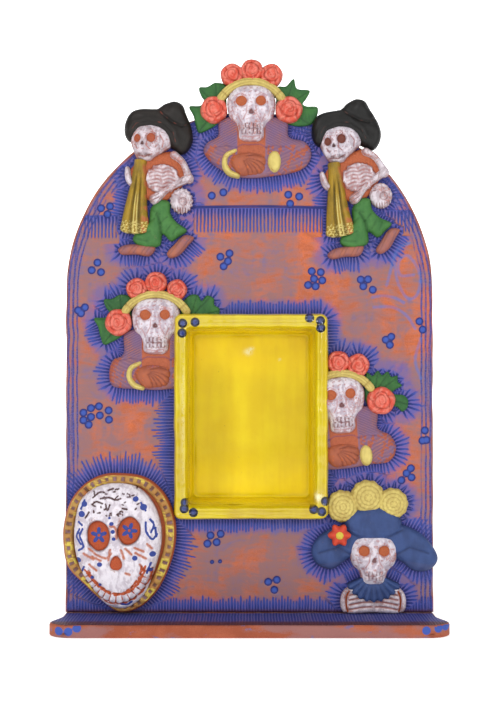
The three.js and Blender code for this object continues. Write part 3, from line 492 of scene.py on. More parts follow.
# A dense raised surface over closed outlines. surface(x, y, depth, along) gives the height above the plane
# and named values; depth is the distance in from the outline and along the share of the way round it. The
# skirt lists steps down the side: how far out, and the height.
def relief(name, lay, loops, surface, material, pitch=0.5, skirt=None, soften=1,
           nodes=(), slot=None, sharp=55, cavityScale=0.5, cavityRounds=3, keepOut=None):
    # Backs at different depths, so that pieces pressed one after another don't share a plane
    skirt = skirt or ((0, -1.5 + 0.05 * (len(bpy.data.meshes) % 17)),)
    samples = np.vstack(loops)
    shares = np.concatenate([np.arange(len(loop)) / len(loop) for loop in loops])
    low, high = samples.min(0), samples.max(0)
    xs = np.arange(low[0] - pitch * 1.5, high[0] + pitch * 2.5, pitch)
    ys = np.arange(low[1] - pitch * 1.5, high[1] + pitch * 2.5, pitch)
    x, y = np.meshgrid(xs, ys)
    inside = isInside(loops, xs, ys)
    if keepOut:
        spots = lay(x.ravel(), y.ravel(), np.zeros(x.size)) * 1000
        across, up = (spots[:, k].reshape(x.shape) for k in (0, 2))
        inside &= ~((across > keepOut[0]) & (across < keepOut[2]) & (up > keepOut[1]) & (up < keepOut[3]))
    near = inside.copy()
    for down in (-1, 0, 1):
        for sideways in (-1, 0, 1):
            near |= np.roll(np.roll(inside, down, 0), sideways, 1)
    tree = nearTree(samples)
    depth = np.zeros(x.shape)
    along = np.zeros(x.shape)
    for row, column in zip(*np.nonzero(near)):
        index, reach = tree.find((x[row, column], y[row, column], 0))[1:]
        along[row, column] = shares[index]
        if inside[row, column]:
            depth[row, column] = reach
        elif reach < pitch * 1.6:
            x[row, column], y[row, column] = samples[index]
    height, values = surface(x, y, depth, along)
    height = blur(height, near, soften)
    values = {key: field + np.zeros(x.shape) for key, field in values.items()}
    values["cavity"] = np.clip((blur(height, near, cavityRounds) - height) / cavityScale, -1, 1)

    cells = inside[:-1, :-1] | inside[1:, :-1] | inside[:-1, 1:] | inside[1:, 1:]
    used = np.zeros(x.shape, bool)
    for down in (0, 1):
        for sideways in (0, 1):
            used[down:down + len(cells), sideways:sideways + len(cells[0])] |= cells
    ids = np.full(x.shape, -1)
    ids[used] = np.arange(used.sum())
    quads = np.stack([ids[:-1, :-1], ids[:-1, 1:], ids[1:, 1:], ids[1:, :-1]], -1)[cells].tolist()
    flat = np.stack([x[used], y[used], height[used]], 1)
    fields = {key: [field[used]] for key, field in values.items()}
    points = [flat]
    faces = list(quads)
    total = len(flat)
    rings = []
    for loop in boundaryLoops(quads):
        rim = flat[loop]
        ahead = np.roll(rim[:, :2], -1, 0) - np.roll(rim[:, :2], 1, 0)
        ahead /= np.maximum(np.linalg.norm(ahead, axis=1), 1e-9)[:, None]
        outward = np.stack([ahead[:, 1], -ahead[:, 0]], 1)
        previous = list(loop)
        for out, level in skirt:
            ring = rim.copy()
            ring[:, :2] += outward * out
            ring[:, 2] = np.minimum(level(ring) if callable(level) else level, rim[:, 2])
            here = list(range(total, total + len(loop)))
            total += len(loop)
            points.append(ring)
            for key, field in values.items():
                fields[key].append(field[used][loop])
            faces += [(b, a, c, d) for a, b, c, d
                      in zip(previous, previous[1:] + previous[:1], here, here[1:] + here[:1])]
            previous = here
        rings.append(previous)
    points = np.vstack(points)
    if len(rings) == 2:
        outer, inner = sorted(rings, key=len, reverse=True)
        faces += ringBack(outer, inner, points)
    else:
        faces += [tuple(reversed(ring)) for ring in rings]
    fields = {key: np.concatenate(field) for key, field in fields.items()}
    spots = lay(points[:, 0], points[:, 1], points[:, 2])
    return buildMesh(name, spots, faces, material, fields, nodes=nodes, sharp=sharp)


# Triangles that close the back of a sheet with one hole: they join the rim to the hole, bearing by bearing
def ringBack(outer, inner, points):
    middle = points[inner][:, :2].mean(0)

    def byBearing(ring):
        away = points[ring][:, :2] - middle
        bearing = np.arctan2(away[:, 1], away[:, 0])
        order = np.argsort(bearing)
        return [ring[i] for i in order] + [ring[order[0]]], list(bearing[order]) + [9, 9]

    (rim, rimTurns), (hole, holeTurns) = byBearing(outer), byBearing(inner)
    i = j = 0
    faces = []
    while i < len(outer) or j < len(inner):
        if rimTurns[i + 1] < holeTurns[j + 1] or j == len(inner):
            faces.append((rim[i + 1], rim[i], hole[j]))
            i += 1
        else:
            faces.append((rim[i], hole[j], hole[j + 1]))
            j += 1
    return faces


# Places on the panel's face
def onPanel(x0, z0, turn=0):
    c, s = math.cos(math.radians(turn)), math.sin(math.radians(turn))

    def lay(x, y, height):
        return np.stack([x0 + c * x - s * y, panelFaceY - height, z0 + s * x + c * y], 1) / 1000
    return lay


# Edges that the comb strokes start from: points in the panel's plane, distance along, and how far they reach
combEdges = []
figureComb = 11


def combFrom(lay, outline, reach):
    spots = lay(outline[:, 0], outline[:, 1], np.zeros(len(outline)))[:, [0, 2]] * 1000
    steps = np.linalg.norm(np.diff(spots, axis=0), axis=1)
    along = np.concatenate([[0], np.cumsum(steps)])
    combEdges.append((spots, along + 37 * len(combEdges), reach + np.zeros(len(spots))))


# Presses the pieces of one figure, each in place of its CAD node or of the nodes given
def presser(name, lay, keepOut=None):
    def press(part, outline, form, material, slot, nodes=None, combed=True, **how):
        if combed:
            combFrom(lay, outline, figureComb)
        return relief(f"{name}_{part}", lay, [outline], form, materials[material], slot=slot, keepOut=keepOut,
                      nodes=[f"{name}_{node}" for node in ([part] if nodes is None else nodes)], **how)
    return press


# Skulls

# Raised or sunk spots, sockets, a nose, teeth and scratched lines over a dome
def skullForm(look):
    def surface(x, y, depth, along):
        height = pillow(depth, look["reach"], look["rim"], look["height"])
        height += 0.25 * wobble(x, y, 4, look["seed"]) * ease(depth, 0, 2)
        accent = np.zeros(x.shape)
        line = np.zeros(x.shape)
        tint = np.zeros(x.shape)
        for cx, cy, rx, ry, rise in look["swells"]:
            height += rise * knoll(x, y, cx, cy, rx, ry)
        for cx, cy, rx, ry, turn in look["sockets"]:
            hole = pit(x, y, cx, cy, rx, ry, 0.2, turn)
            lip = bell(ellipse(x, y, cx, cy, rx, ry, turn) - 1.45, 0.3)
            height = height - hole * look["socketDepth"] + lip * 0.35
            accent = np.maximum(accent, pit(x, y, cx, cy, rx * 0.97, ry * 0.97, 0.06, turn))
        cx, cy, rx, ry = look["nose"]
        nose = pit(x, y, cx, cy, rx * (1.5 - 0.5 * (y - cy + ry) / ry), ry, 0.3)
        height -= nose * 1.8
        line = np.maximum(line, nose * look["noseInk"])
        cx, cy, wide, tall, turn, pitch = look["teeth"]
        c, s = math.cos(math.radians(turn)), math.sin(math.radians(turn))
        u, v = (x - cx) * c + (y - cy) * s, (y - cy) * c - (x - cx) * s
        zone = ease(np.abs(u), wide / 2, wide / 2 - 1) * ease(np.abs(v), tall / 2, tall / 2 - 0.8)
        gap = bell(((u / pitch + 0.1 * wobble(u, v, 6, 5)) % 1 - 0.5) * pitch, 0.66)
        parting = bell(v + 0.35 * wobble(u, v, 4, look["seed"]), 0.58)
        edge = bell(np.abs(v) - tall / 2 + 0.5, 0.5)
        height += zone * (0.7 - 0.95 * np.maximum(gap, parting))
        ink = np.maximum(np.maximum(gap, parting), edge * 0.6) * zone
        ink *= ease(wobble(x, y, 3.4, look["seed"] + 7), -0.5, 0.05)
        line = np.maximum(line, ink * look["toothInk"])
        for path, width in look["scratches"]:
            cut = groove(x, y, path, width)
            height -= 0.5 * cut
            tint = np.maximum(tint, cut * look["scratchInk"])
        halo = np.zeros(x.shape)
        for cx, cy, rx, ry, turn in look["sockets"]:
            halo = np.maximum(halo, ease(ellipse(x, y, cx, cy, rx, ry, turn), 1.5, 1.0))
        tint = np.maximum(tint, halo * ease(wobble(x, y, 5, look["seed"] + 20), -0.2, 0.5) * 0.6)
        stain = ease(wobble(x, y, 9, look["seed"] + 30), -0.3, 0.4)
        tint = np.maximum(tint, ease(depth, 1.8, 0.5) * stain * 0.7)
        tint = np.maximum(tint, ease(wobble(x, y, 2.6, look["seed"] + 40), 0.36, 0.5) * 0.6)
        return height, {"accent": accent, "line": line, "tint": tint}
    return surface


# Roses, leaves and a headband

def roseForm(cx, cy, radius, rise, turn):
    def surface(x, y, depth, along):
        r = np.hypot(x - cx, y - cy) / radius
        angle = np.arctan2(y - cy, x - cx) / math.tau
        bend = r * (1 + 0.07 * np.sin(angle * 6 * math.pi + turn * 9))
        bend += 0.03 * wobble(x, y, 5, int(turn * 100))
        lobe = (angle * 5 + turn * 3 + bend * 0.6) % 1
        wind = (bend * 3.0 - angle + turn) % 1
        outer = ease(bend, 0.52, 0.6)
        height = 1.5 + (rise - 1.5) * np.sqrt(np.clip(1 - (r * 0.93) ** 2, 0, 1))
        curl = (wind ** 1.5 - ease(wind, 0.84, 1.0)) * 1.7 * ease(r, 0.02, 0.2)
        fold = 1.2 * (lobe ** 0.7 - ease(lobe, 0.88, 1)) - 1.1 * bell(bend - 0.6, 0.07)
        fold += 0.7 * bell(bend - 0.86, 0.1)
        height += ((1 - outer) * curl + outer * fold) * ease(depth, 0, 1)
        # Painted shade: the creases between the turns of the spiral and between the petals are painted dark
        line = (1 - outer) * bell(wind - 0.95, 0.08) * ease(r, 0.1, 0.25)
        line = np.maximum(line, outer * ease(lobe, 0.86, 0.97) * ease(depth, 0.2, 1) * 0.9)
        line = np.maximum(line, bell(bend - 0.58, 0.045) * 0.85)
        line *= 0.28 + 0.4 * ease(wobble(x, y, 5, 3), -0.3, 0.4)
        # Painted highlight: the crests of the petals are painted lighter
        crestHighlight = np.maximum((1 - outer) * ease(wind, 0.55, 0.8), outer * ease(lobe, 0.5, 0.8))
        crestHighlight *= ease(wobble(x, y, 4, 2), -0.5, 0.3)
        return height, {"accent": crestHighlight * 0.6, "line": line}
    return surface


def addRose(name, lay, cx, cy, radius, rise, turn, nodes=(), keepOut=None):
    outline = oval(cx, cy, radius, radius * 0.97, ripple=0.025, waves=5, turn=turn * 90)
    combFrom(lay, outline, figureComb)
    return relief(name, lay, [outline], roseForm(cx, cy, radius, rise, turn), materials["rose"], pitch=0.36,
                  nodes=nodes, slot="rose_paint", keepOut=keepOut, cavityScale=0.4)


def leafForm(heart, tips, rise):
    def surface(x, y, depth, along):
        height = pillow(depth, 3.2, 1.0, rise) + 0.25 * wobble(x, y, 5, 11)
        vein = np.zeros(x.shape)
        for tip in tips:
            vein = np.maximum(vein, groove(x, y, [heart, tip], 0.9))
        reach, way = toPath(x, y, [heart, tips[0]])
        ribs = 0.5 + 0.5 * np.cos(way * math.tau / 2.2 + reach * 1.3)
        return height - 0.7 * vein - 0.22 * ribs * ease(depth, 0.5, 2), {"line": vein * 0.5}
    return surface


def bandForm(path, width, rise):
    def surface(x, y, depth, along):
        reach, way = toPath(x, y, path)
        share = np.clip(reach / (width / 2), 0, 1)
        height = 2.2 + (rise - 2.2) * np.sqrt(1 - share ** 2 * 0.9)
        wave = 0.3 * np.sin(way / 3.3)
        cut = bell(reach - 1.1 + wave * 0.5, 0.42)
        twist = 0.5 + 0.5 * np.cos(way * math.tau / 3.1 + reach * 2)
        total = toPath(path[-1][0] + np.zeros(1), path[-1][1] + np.zeros(1), path)[1][0]
        knob = bell(way, 2.2) + bell(total - way, 2.2)
        nick = bell(way - 4.2, 0.6) + bell(total - way - 4.2, 0.6)
        height = height - 1.0 * cut - 0.2 * twist - 0.9 * nick + 1.0 * knob * (1 - share)
        return height, {"line": np.maximum(cut * 0.4, nick * 0.5) * (1 - knob * 0.7)}
    return surface


# Ladies: a rose-crowned skull, a ribbed shawl and crossed hands, all pressed from one mould

frameBlock = (-50.2, 77.3, 52.8, 214.9)
lady = {
    "skull": {
        "outline": mirrored([(0, 19.2), (8.4, 18.4), (13.7, 15), (16.7, 8.5), (16.4, 1.6), (14.4, -4.8),
                             (10, -9.9), (9, -13.5), (8.4, -18.2), (5, -20.4), (0, -20.6)]),
        "reach": 12, "rim": 2.6, "height": 11, "seed": 3, "socketDepth": 1.9,
        "sockets": [(-7, 6.7, 4.0, 3.7, 0), (6.6, 6.9, 3.7, 3.6, 0)],
        "nose": (0, -0.6, 1.7, 1.9), "noseInk": 0.9,
        "teeth": (0, -12.4, 14.5, 8.2, 0, 2.7), "toothInk": 1.0,
        "swells": [(-10.5, 0.5, 4, 2.6, 1.1), (10.5, 0.5, 4, 2.6, 1.1), (0, 3, 2, 5, 1.0),
                   (0, 12.5, 9, 3, 0.6), (-10.5, -6.5, 3, 3.5, -1.5), (10.5, -6.5, 3, 3.5, -1.5),
                   (0, -12.4, 7, 5, 1.0), (0, -19, 5, 2, 0.8), (-14.6, 6, 2, 4, -0.8), (14.6, 6, 2, 4, -0.8),
                   (0, -5, 4.5, 1.5, -0.7)],
        "scratches": [([(-3, 3.4), (-3.4, -1.6), (-5.8, -6)], 0.8), ([(3, 3), (3.6, -2), (6.2, -6.4)], 0.8),
                      ([(-9.6, -2.6), (-6.8, -8)], 0.8), ([(9.4, -2.4), (7, -7.6)], 0.8),
                      ([(-11.4, 10.4), (-7.2, 12), (-3.4, 10)], 0.7),
                      ([(11, 10.6), (6.8, 12.2), (3.2, 10.2)], 0.7), ([(-13.6, 2.4), (-11.6, -2.6)], 0.7),
                      ([(13.6, 2.2), (11.8, -3)], 0.7), ([(-6.4, -17.2), (0, -18), (6.2, -17)], 0.8)],
        "scratchInk": 0.7,
    },
    "band": {"radius": 25.2, "drop": -3.9, "spread": 58, "width": 6, "height": 8.5},
    "crown": {"reach": [32.86] * 3, "angles": [114, 89.5, 65], "radii": [8.1] * 3, "height": 7.4},
    "leftCrown": {"reach": [32, 33.2, 32], "angles": [114.5, 90, 63], "radii": [7.6, 7.9, 7.2],
                  "height": 7.4},
    "side": {"places": [(-26.1, 1.8), (26.1, 1.8)], "radius": 9.5, "height": 8.6},
    "rightSide": {"places": [(-26.1, 1.8), (27.9, 0)], "radius": 9.9, "height": 8.6},
    "leftLeaves": [(-17.5, 12), (-18, 19.5), (-25, 21.3), (-31, 18.4), (-36.5, 17.8), (-35, 12),
                   (-32.8, 8.6), (-35.5, 5.4), (-43.4, 4.6), (-40.6, -1.5), (-39, -8), (-36.6, -13.6),
                   (-30.5, -11.6), (-24, -7.5), (-18, 0)],
    "leftTips": [(-36, 17.2), (-25, 20.6), (-43, 4.2), (-36.4, -13)],
    "rightLeaves": [(17.5, 12), (18.5, 18.4), (24, 18.8), (29.6, 24), (31.8, 17.4), (40.8, 15.6),
                    (38.6, 10.6), (36, 6.5), (38.4, 4.9), (46.3, 4), (45, -4.2), (40.5, -8.2),
                    (27, -8), (18, -1)],
    "rightTips": [(40.4, 15.2), (29.6, 23.4), (46, 3.4), (40.5, -8)],
    "lobedLeaves": [(17.5, 6), (17.8, 13.4), (21.2, 19.2), (25.4, 21.4), (29.4, 20.6), (31.6, 17),
                    (35.4, 20.6), (40.2, 18.6), (40.6, 14.2), (44.2, 11.4), (43, 5.6), (38.6, 3),
                    (30, 2), (20, 0)],
    "lobedTips": [(28.4, 20.4), (37.6, 19.6), (43.4, 9.6), (20.6, 17.6)],
    "serratedLeaves": [(17.5, 10), (20, 20.4), (23.6, 17.8), (27.6, 21), (30.4, 17.8), (34.6, 19.8),
                       (36.6, 16.2), (41, 16.4), (41, 12.4), (43.6, 9.4), (38.6, 6.8), (36.4, 4.6),
                       (39.4, 3.4), (44, 2.6), (47, -1), (46, -6.6), (42.4, -8.8), (39, -5.4), (33, -4.6),
                       (27, -8), (18, -1)],
    "serratedTips": [(20.6, 19.4), (27.6, 20.2), (34.6, 19), (41, 15.6), (46.6, -4)],
    "leafHeart": (23.5, 4),
    "wideShawl": [(-22.4, -6), (-23.4, -16), (-30.6, -20.6), (-33.4, -26.4), (-28, -34.6), (-21, -39.6),
                  (-13, -43.6), (0, -45.4), (14, -44), (27, -42), (38, -37.4), (42, -28.6), (38, -20.6),
                  (26.4, -16.6), (24.8, -6), (10, -2), (-10, -2)],
    "shawl": [(-24.4, -6), (-23.8, -18), (-32.5, -23), (-36, -32), (-30, -41.5), (-16, -44.8), (0, -45.4),
              (16, -44), (31, -42.5), (36.2, -34), (33, -25), (24.4, -19), (24.8, -6), (10, -2), (-10, -2)],
    "leftShawl": [(-22, -6), (-22.4, -18), (-24, -21.6), (-30.2, -24.4), (-32.8, -33), (-31, -42),
                  (-24, -44.2), (-12, -44.6), (0, -45.4), (16, -44), (31, -42.5), (36.2, -34), (33, -25),
                  (24.4, -19), (24.8, -6), (10, -2), (-10, -2)],
    "hands": [(-15, -35), (-12.5, -30), (-6, -27.8), (3, -28), (10, -30.5), (10.7, -35), (8.5, -42),
              (0, -44), (-9, -43.4)],
    "fingers": {"heart": (-6, -31), "angles": [-76, -62, -49, -36, -22], "length": 17},
    "leftCuff": [(-11, -26.6), (-17.2, -30), (-18.6, -36), (-15.4, -41.6), (-9.5, -44)],
    "rightCuff": (16.1, -34.3, 5.1, 7.75),
}


def shawlForm(x, y, depth, along):
    side = np.abs(x)
    height = pillow(depth, 5.5, 1.2, 4.4)
    sleeve = ease(y, -20, -25) * ease(side, 9, 13)
    height += 1.2 * knoll(side, y, 24, -33, 12, 9) * ease(depth, 0, 3)
    strap = ease(side, 9, 11.5) * ease(y, -25, -21)
    ribs = 0.5 + 0.5 * np.cos((y + side * 0.5) * math.tau / 1.75)
    folds = 0.5 + 0.5 * np.cos((y * 0.8 - side * 0.35 + 1.4 * wobble(x, y, 12, 4)) * math.tau / 2.2)
    neck = ease(side, 10.5, 9) * ease(y, -33, -30)
    height = height - strap * ribs * 0.75 - sleeve * folds * 0.5 + strap * 0.6 - neck * 0.4
    seam = groove(side, y, [(9.5, -24.5), (17, -23.2), (25, -24.5)], 0.9)
    collar = groove(side, y, [(0, -22.5), (6, -22.2), (11, -24.6)], 0.8)
    bare = sleeve * ease(wobble(x, y, 13, 9) + 0.5 * wobble(x, y, 3, 10), 0.0, 0.3)
    return height - 0.6 * seam - 0.5 * collar, {
        "accent": np.maximum(neck, bare * 0.9),
        "line": np.maximum(np.maximum(strap * ribs * 0.55, sleeve * folds * 0.3),
                           np.maximum(seam, collar) * 0.5)}


def handsForm(x, y, depth, along):
    height = pillow(depth, 7, 2.2, 8.0)
    cx, cy = lady["fingers"]["heart"]
    reach = lady["fingers"]["length"]
    cuts = np.zeros(x.shape)
    for angle in lady["fingers"]["angles"]:
        turn = math.radians(angle)
        tip = (cx + math.cos(turn) * reach, cy + math.sin(turn) * reach)
        start = (cx + math.cos(turn) * 3.5, cy + math.sin(turn) * 3.5)
        middle = ((start[0] + tip[0]) / 2 + 0.9, (start[1] + tip[1]) / 2 + 0.7)
        cuts = np.maximum(cuts, groove(x, y, openCurve([start, middle, tip], 1), 0.95))
    wrist = groove(x, y, [(-3.4, -31), (2.6, -29.6), (9.6, -31.8)], 1.0)
    knuckles = 0.5 * wobble(x, y, 3.4, 15)
    cuts = np.maximum(cuts, wrist)
    return height - 1.3 * cuts + knuckles * 0.5 + 0.5 * knoll(x, y, -8, -33, 4, 4), {
        "line": cuts * 0.6, "accent": ease(knuckles + 0.3 * wobble(x, y, 9, 16), 0.12, 0.3) * 0.6}


def cuffForm(x, y, depth, along):
    return pillow(depth, 2.6, 2.0, 7.2) + 0.2 * wobble(x, y, 4, 5), {}


def addLady(name, lay, roses, sides, leafSides, cuffSides, keepOut=None, **own):
    look = {**lady, **own}
    press = presser(name, lay, keepOut)
    for side in leafSides:
        key = "leftLeaves" if side == "left" else "rightLeaves"
        heart = (lady["leafHeart"][0] * (-1 if side == "left" else 1), lady["leafHeart"][1])
        part = "leaves" if side == "only" else side + "_leaves"
        press(part, smooth(look[key]), leafForm(heart, look[key.replace("Leaves", "Tips")], 3.0),
              "leaf", "leaf_paint", pitch=0.45)
    press("shawl", smooth(look["shawl"]), shawlForm, "shawl", "mauve_paint", pitch=0.4, cavityScale=0.4)
    press("hands", smooth(lady["hands"]), handsForm, "hand", "bare_clay", combed=False)
    if "left" in cuffSides:
        press("left_cuff", strip(lady["leftCuff"], 3.2, 4.9, 3.4), cuffForm, "band", "pale_yellow_paint",
              combed=False)
    if "right" in cuffSides:
        press("right_cuff", oval(*look["rightCuff"]), cuffForm, "band", "pale_yellow_paint", combed=False)
    press("skull", smooth(lady["skull"]["outline"]), skullForm(lady["skull"]), "skull", "bone_paint",
          combed=False)
    band = lady["band"]
    angles = np.radians(np.linspace(90 + band["spread"], 90 - band["spread"], 40))
    path = [(band["radius"] * math.cos(a), band["drop"] + band["radius"] * math.sin(a)) for a in angles]
    press("headband", strip(path, 5.6, band["width"], 5.6), bandForm(path, band["width"], band["height"]),
          "band", "pale_yellow_paint", combed=False, pitch=0.4)
    crown = look["crown"]
    for i in roses:
        angle, reach = math.radians(crown["angles"][i]), crown["reach"][i]
        cx, cy = reach * math.cos(angle), band["drop"] + reach * math.sin(angle)
        addRose(f"{name}_crown_rose_{i + 1}", lay, cx, cy, crown["radii"][i],
                crown["height"] + (0.5 if i == 1 else 0), 0.2 + 0.31 * i,
                nodes=[name + "_crown_roses"] if i == roses[0] else (), keepOut=keepOut)
    for side in sides:
        cx, cy = look["side"]["places"][0 if side == "left" else 1]
        addRose(f"{name}_{side}_rose", lay, cx, cy, look["side"]["radius"], look["side"]["height"],
                0.55 if side == "left" else 0.05, nodes=[f"{name}_{side}_rose"], keepOut=keepOut)


addLady("top_lady", onPanel(1.3, 358.5), [0, 1, 2], ["left", "right"], ["left", "right"], ["left", "right"],
        shawl=lady["wideShawl"])
addLady("left_lady", onPanel(-65.2, 210.4), [0, 1, 2], ["left"], ["left", "right"], ["left"], frameBlock,
        rightLeaves=lady["lobedLeaves"], rightTips=lady["lobedTips"], crown=lady["leftCrown"],
        shawl=lady["leftShawl"])
addLady("right_lady", onPanel(63.8, 155.4, 4.5), [1, 2], ["right"], ["only"], ["right"], frameBlock,
        rightLeaves=lady["serratedLeaves"], rightTips=lady["serratedTips"], side=lady["rightSide"],
        rightCuff=(14.6, -37, 4.9, 7.5))
print("ladies pressed")


# Musicians: a skeleton in a black hat, playing a long horn and shaking a gourd

musician = {
    "skull": {
        "outline": [(-16.7, 30), (-13, 37), (-4, 39.4), (6, 36.8), (11.8, 31), (12.2, 24.5), (6.5, 19.8),
                    (0.5, 16), (-3, 13.2), (-11, 13.6), (-14.6, 20)],
        "reach": 10, "rim": 2.6, "height": 10.6, "seed": 8, "socketDepth": 2.2,
        "sockets": [(-11.6, 28.3, 2.3, 2.9, 0), (-2, 28.4, 3.1, 3.3, 0)],
        "nose": (-8.1, 24.9, 1.1, 1.4), "noseInk": 0.75,
        "teeth": (-6.6, 16.6, 11, 3.4, -8, 2.2), "toothInk": 0.75,
        "swells": [(1.5, 21.5, 4, 2.2, 1.0), (-7, 28, 1.4, 4, 1.2), (-6.5, 17.5, 6, 3, 1.4),
                   (4.5, 24, 3, 2, -0.8), (-2, 34, 6, 2.5, 0.7), (-13, 22, 2, 2, -0.9),
                   (-2.5, 20.6, 2.5, 1.3, -1.0)],
        "scratches": [([(-2, 34.4), (-0.4, 32.4), (-1.6, 31.2)], 0.8),
                      ([(-12.5, 16.8), (-6.6, 15.4), (-1.5, 17.2)], 0.9),
                      ([(-4.4, 27), (-5.4, 23), (-3, 20.6)], 0.8), ([(-13.2, 24), (-11.6, 20.8)], 0.7),
                      ([(4.4, 30), (6.6, 26), (5.6, 22)], 0.8), ([(-14.6, 30), (-12.4, 33)], 0.7)],
        "scratchInk": 0.95,
    },
    "hat": [(-20.8, 32), (-20.4, 40), (-16.5, 47), (-11, 49.4), (2.4, 50), (7, 53), (14.1, 54.8),
            (19.4, 52.4), (22, 46), (25.5, 37), (26.6, 28), (23.6, 21), (19, 18), (9, 24), (-8, 28),
            (-18, 27.4)],
    "brimLine": [(1, 50.5), (6, 45), (13, 39.5), (19.5, 36.5), (24.5, 39)],
    "brimFold": [(-18, 31), (-12.5, 38.6), (-3, 41), (7, 38.6), (13.2, 32.6), (15, 25)],
    "horn": {"path": [(-9.6, 13.6), (-11, -2), (-13, -20), (-13.8, -34.6)], "start": 8.6, "flare": 12,
             "height": 8.2},
    "trousers": [(4, -13.6), (10.4, -15.4), (11, -23), (15, -29), (22.4, -35), (17, -39.4), (11.4, -42.6),
                 (5.6, -37.6), (3.6, -45.4), (-8, -47), (-15.2, -42), (-13, -36.6), (-4.5, -29.8),
                 (-2.6, -19.5)],
    "leftShoe": [(-25.6, -48.6), (-21.8, -45.6), (-10.4, -44.8), (0.4, -47), (-3.4, -52.6), (-13.6, -51.8),
                 (-23.4, -51.6)],
    "rightShoe": [(8.4, -51.4), (13, -45.6), (20.8, -38.4), (27.4, -40), (23.2, -45.6), (16.6, -52.6),
                  (10.4, -54.2)],
    "coat": [(-2, 17), (12, 20), (19, 16), (24, 4), (20, -3), (6, -15), (-4, -14), (-16.4, -2),
             (-18, 5), (-14, 11)],
    "ribHeights": [7.6, 5.0, 2.4, -0.2, -2.8, -5.4],
    "limbs": {  # middle line, its widths, and the width and height of the dome
        "upper_arm": ([(13.6, 17.4), (19.6, 12), (23.6, 2.4), (24, 0.8)], (6.2, 4.8, 6.6), (5.2, 7.8)),
        "forearm": ([(24, 1.6), (16, -2.6), (7.6, -7.6), (0.4, -13.2)], (6.4, 4.6, 8.4), (5.4, 8.4)),
        "far_hand": ([(-19, 8), (-18.2, 1), (-16.4, -2)], (3.4, 4.6, 4.6), (4.8, 6.4)),
    },
    "fingers": [[(3.6, -12.4), (-3.4, -15.6)], [(3.2, -10.2), (-4, -13.4)], [(3.4, -8.2), (-2.4, -10.6)],
                [(20, 1.6), (18.4, -3)]],
}


def hatForm(x, y, depth, along):
    height = pillow(depth, 5.5, 2.2, 7.4) + 0.2 * wobble(x, y, 7, 2)
    seam = groove(x, y, musician["brimLine"], 1.5)
    fold = toPath(x, y, musician["brimFold"])[0]
    roll = bell(fold - 1.6, 1.5)
    crown = knoll(x, y, 13.5, 47, 6.5, 5.5)
    dent = knoll(x, y, 10, 50, 2.6, 3.5)
    height = height - 1.4 * seam + 0.9 * roll + 1.2 * crown * ease(depth, 0, 3) - 1.1 * dent
    return height, {"accent": np.maximum(seam, bell(fold, 0.7)) * (0.35 + 0.5 * wobble(x, y, 4, 13))}


def hornForm(x, y, depth, along):
    horn = musician["horn"]
    path = openCurve(horn["path"], 0.8)
    way = toPath(x, y, path)[1]
    length = toPath(path[-1:, 0], path[-1:, 1], path)[1][0]
    t = np.clip(way / length, 0, 1)
    half = (horn["start"] + horn["flare"] * t ** 1.4) / 2
    middle = np.interp(y, path[::-1, 1], path[::-1, 0])
    across = np.clip((x - middle) / half, -1.1, 1.1)
    height = 2.2 + (horn["height"] - 2.2) * np.sqrt(np.clip(1 - across ** 2 * 0.95, 0, 1))
    flute = bell(across + 0.3, 0.13) + bell(across - 0.32, 0.13)
    height -= 1.7 * flute * ease(t, 0.06, 0.4)
    rim = ease(t, 0.82, 0.94)
    beads = np.cos(x * math.tau / 1.5 + wobble(x, y, 5, 21)) * np.cos(y * math.tau / 1.5)
    height += rim * (0.5 + 0.55 * beads) * ease(depth, 0, 1)
    spark = ease(wobble(x, y, 1.6, 31) + 0.3 * beads, -0.05, 0.2)
    worn = ease(across, 0.25, 0.8) * ease(wobble(x, y, 9, 33), -0.1, 0.4) * ease(t, 0.0, 0.1)
    # Painted highlights: two pale stripes run near the middle of the horn
    return height, {"accent": np.maximum(bell(np.abs(across - 0.03) - 0.12, 0.08) * 0.7 * ease(t, 0.2, 0.6),
                                         rim * spark),
                    "line": flute * ease(t, 0.1, 0.4) * 0.6, "tint": worn}


def trousersForm(x, y, depth, along):
    height = pillow(depth, 5, 1.6, 6.4) + 0.3 * wobble(x, y, 8, 17) + 0.15 * wobble(x, y, 2.4, 18)
    crotch = groove(x, y, [(4.6, -37), (4, -30), (1.5, -24)], 1.8)
    folds = np.zeros(x.shape)
    for path in ([(-2, -21), (4, -24)], [(9, -26), (3, -31)], [(-10, -38), (-3, -36)], [(12, -31), (8, -36)],
                 [(-13, -41), (-5, -43)], [(16, -33), (13, -38)], [(0, -27), (-6, -31)]):
        folds = np.maximum(folds, groove(x, y, path, 1.4))
    return height - 1.3 * crotch - 0.7 * folds, {"line": np.maximum(crotch * 0.5, folds * 0.3)}


def shoeForm(x, y, depth, along):
    strap = np.abs(((x * 0.8 - y * 0.6) % 7) - 3.5)
    cut = bell(strap - 1.2, 0.4) * ease(depth, 0.2, 1.2)
    return pillow(depth, 3.0, 1.4, 5.2) + 0.25 * wobble(x, y, 5, 19) - 0.5 * cut, {"line": cut * 0.4}


def gourdForm(x, y, depth, along):
    height = pillow(depth, 6.5, 1.6, 7) + 0.45 * wobble(x, y, 3, 23)
    ring = np.abs(ellipse(x, y, 20, -15.4, 2.6, 2.6) - 1)
    height = height + 1.2 * knoll(x, y, 20, -15.4, 1.6, 1.6) - 0.9 * bell(ring, 0.3)
    fringe = ease(np.cos(x * math.tau / 1.8 + 0.5 * wobble(x, y, 4, 28)), 0.1, 0.6) * ease(y, -18.4, -20.4)
    height = height - 0.7 * fringe - 1.0 * groove(x, y, [(11, -9), (15, -10.6), (20, -8), (25, -10)], 1.0)
    return height, {"line": np.maximum(bell(ring, 0.25) * 0.6, fringe * 0.85)}


def boneOver(x, y, path, width, rise):
    reach = toPath(x, y, openCurve(path, 1.0))[0]
    return rise * np.sqrt(np.clip(1 - (reach / (width / 2)) ** 2, 0, 1))


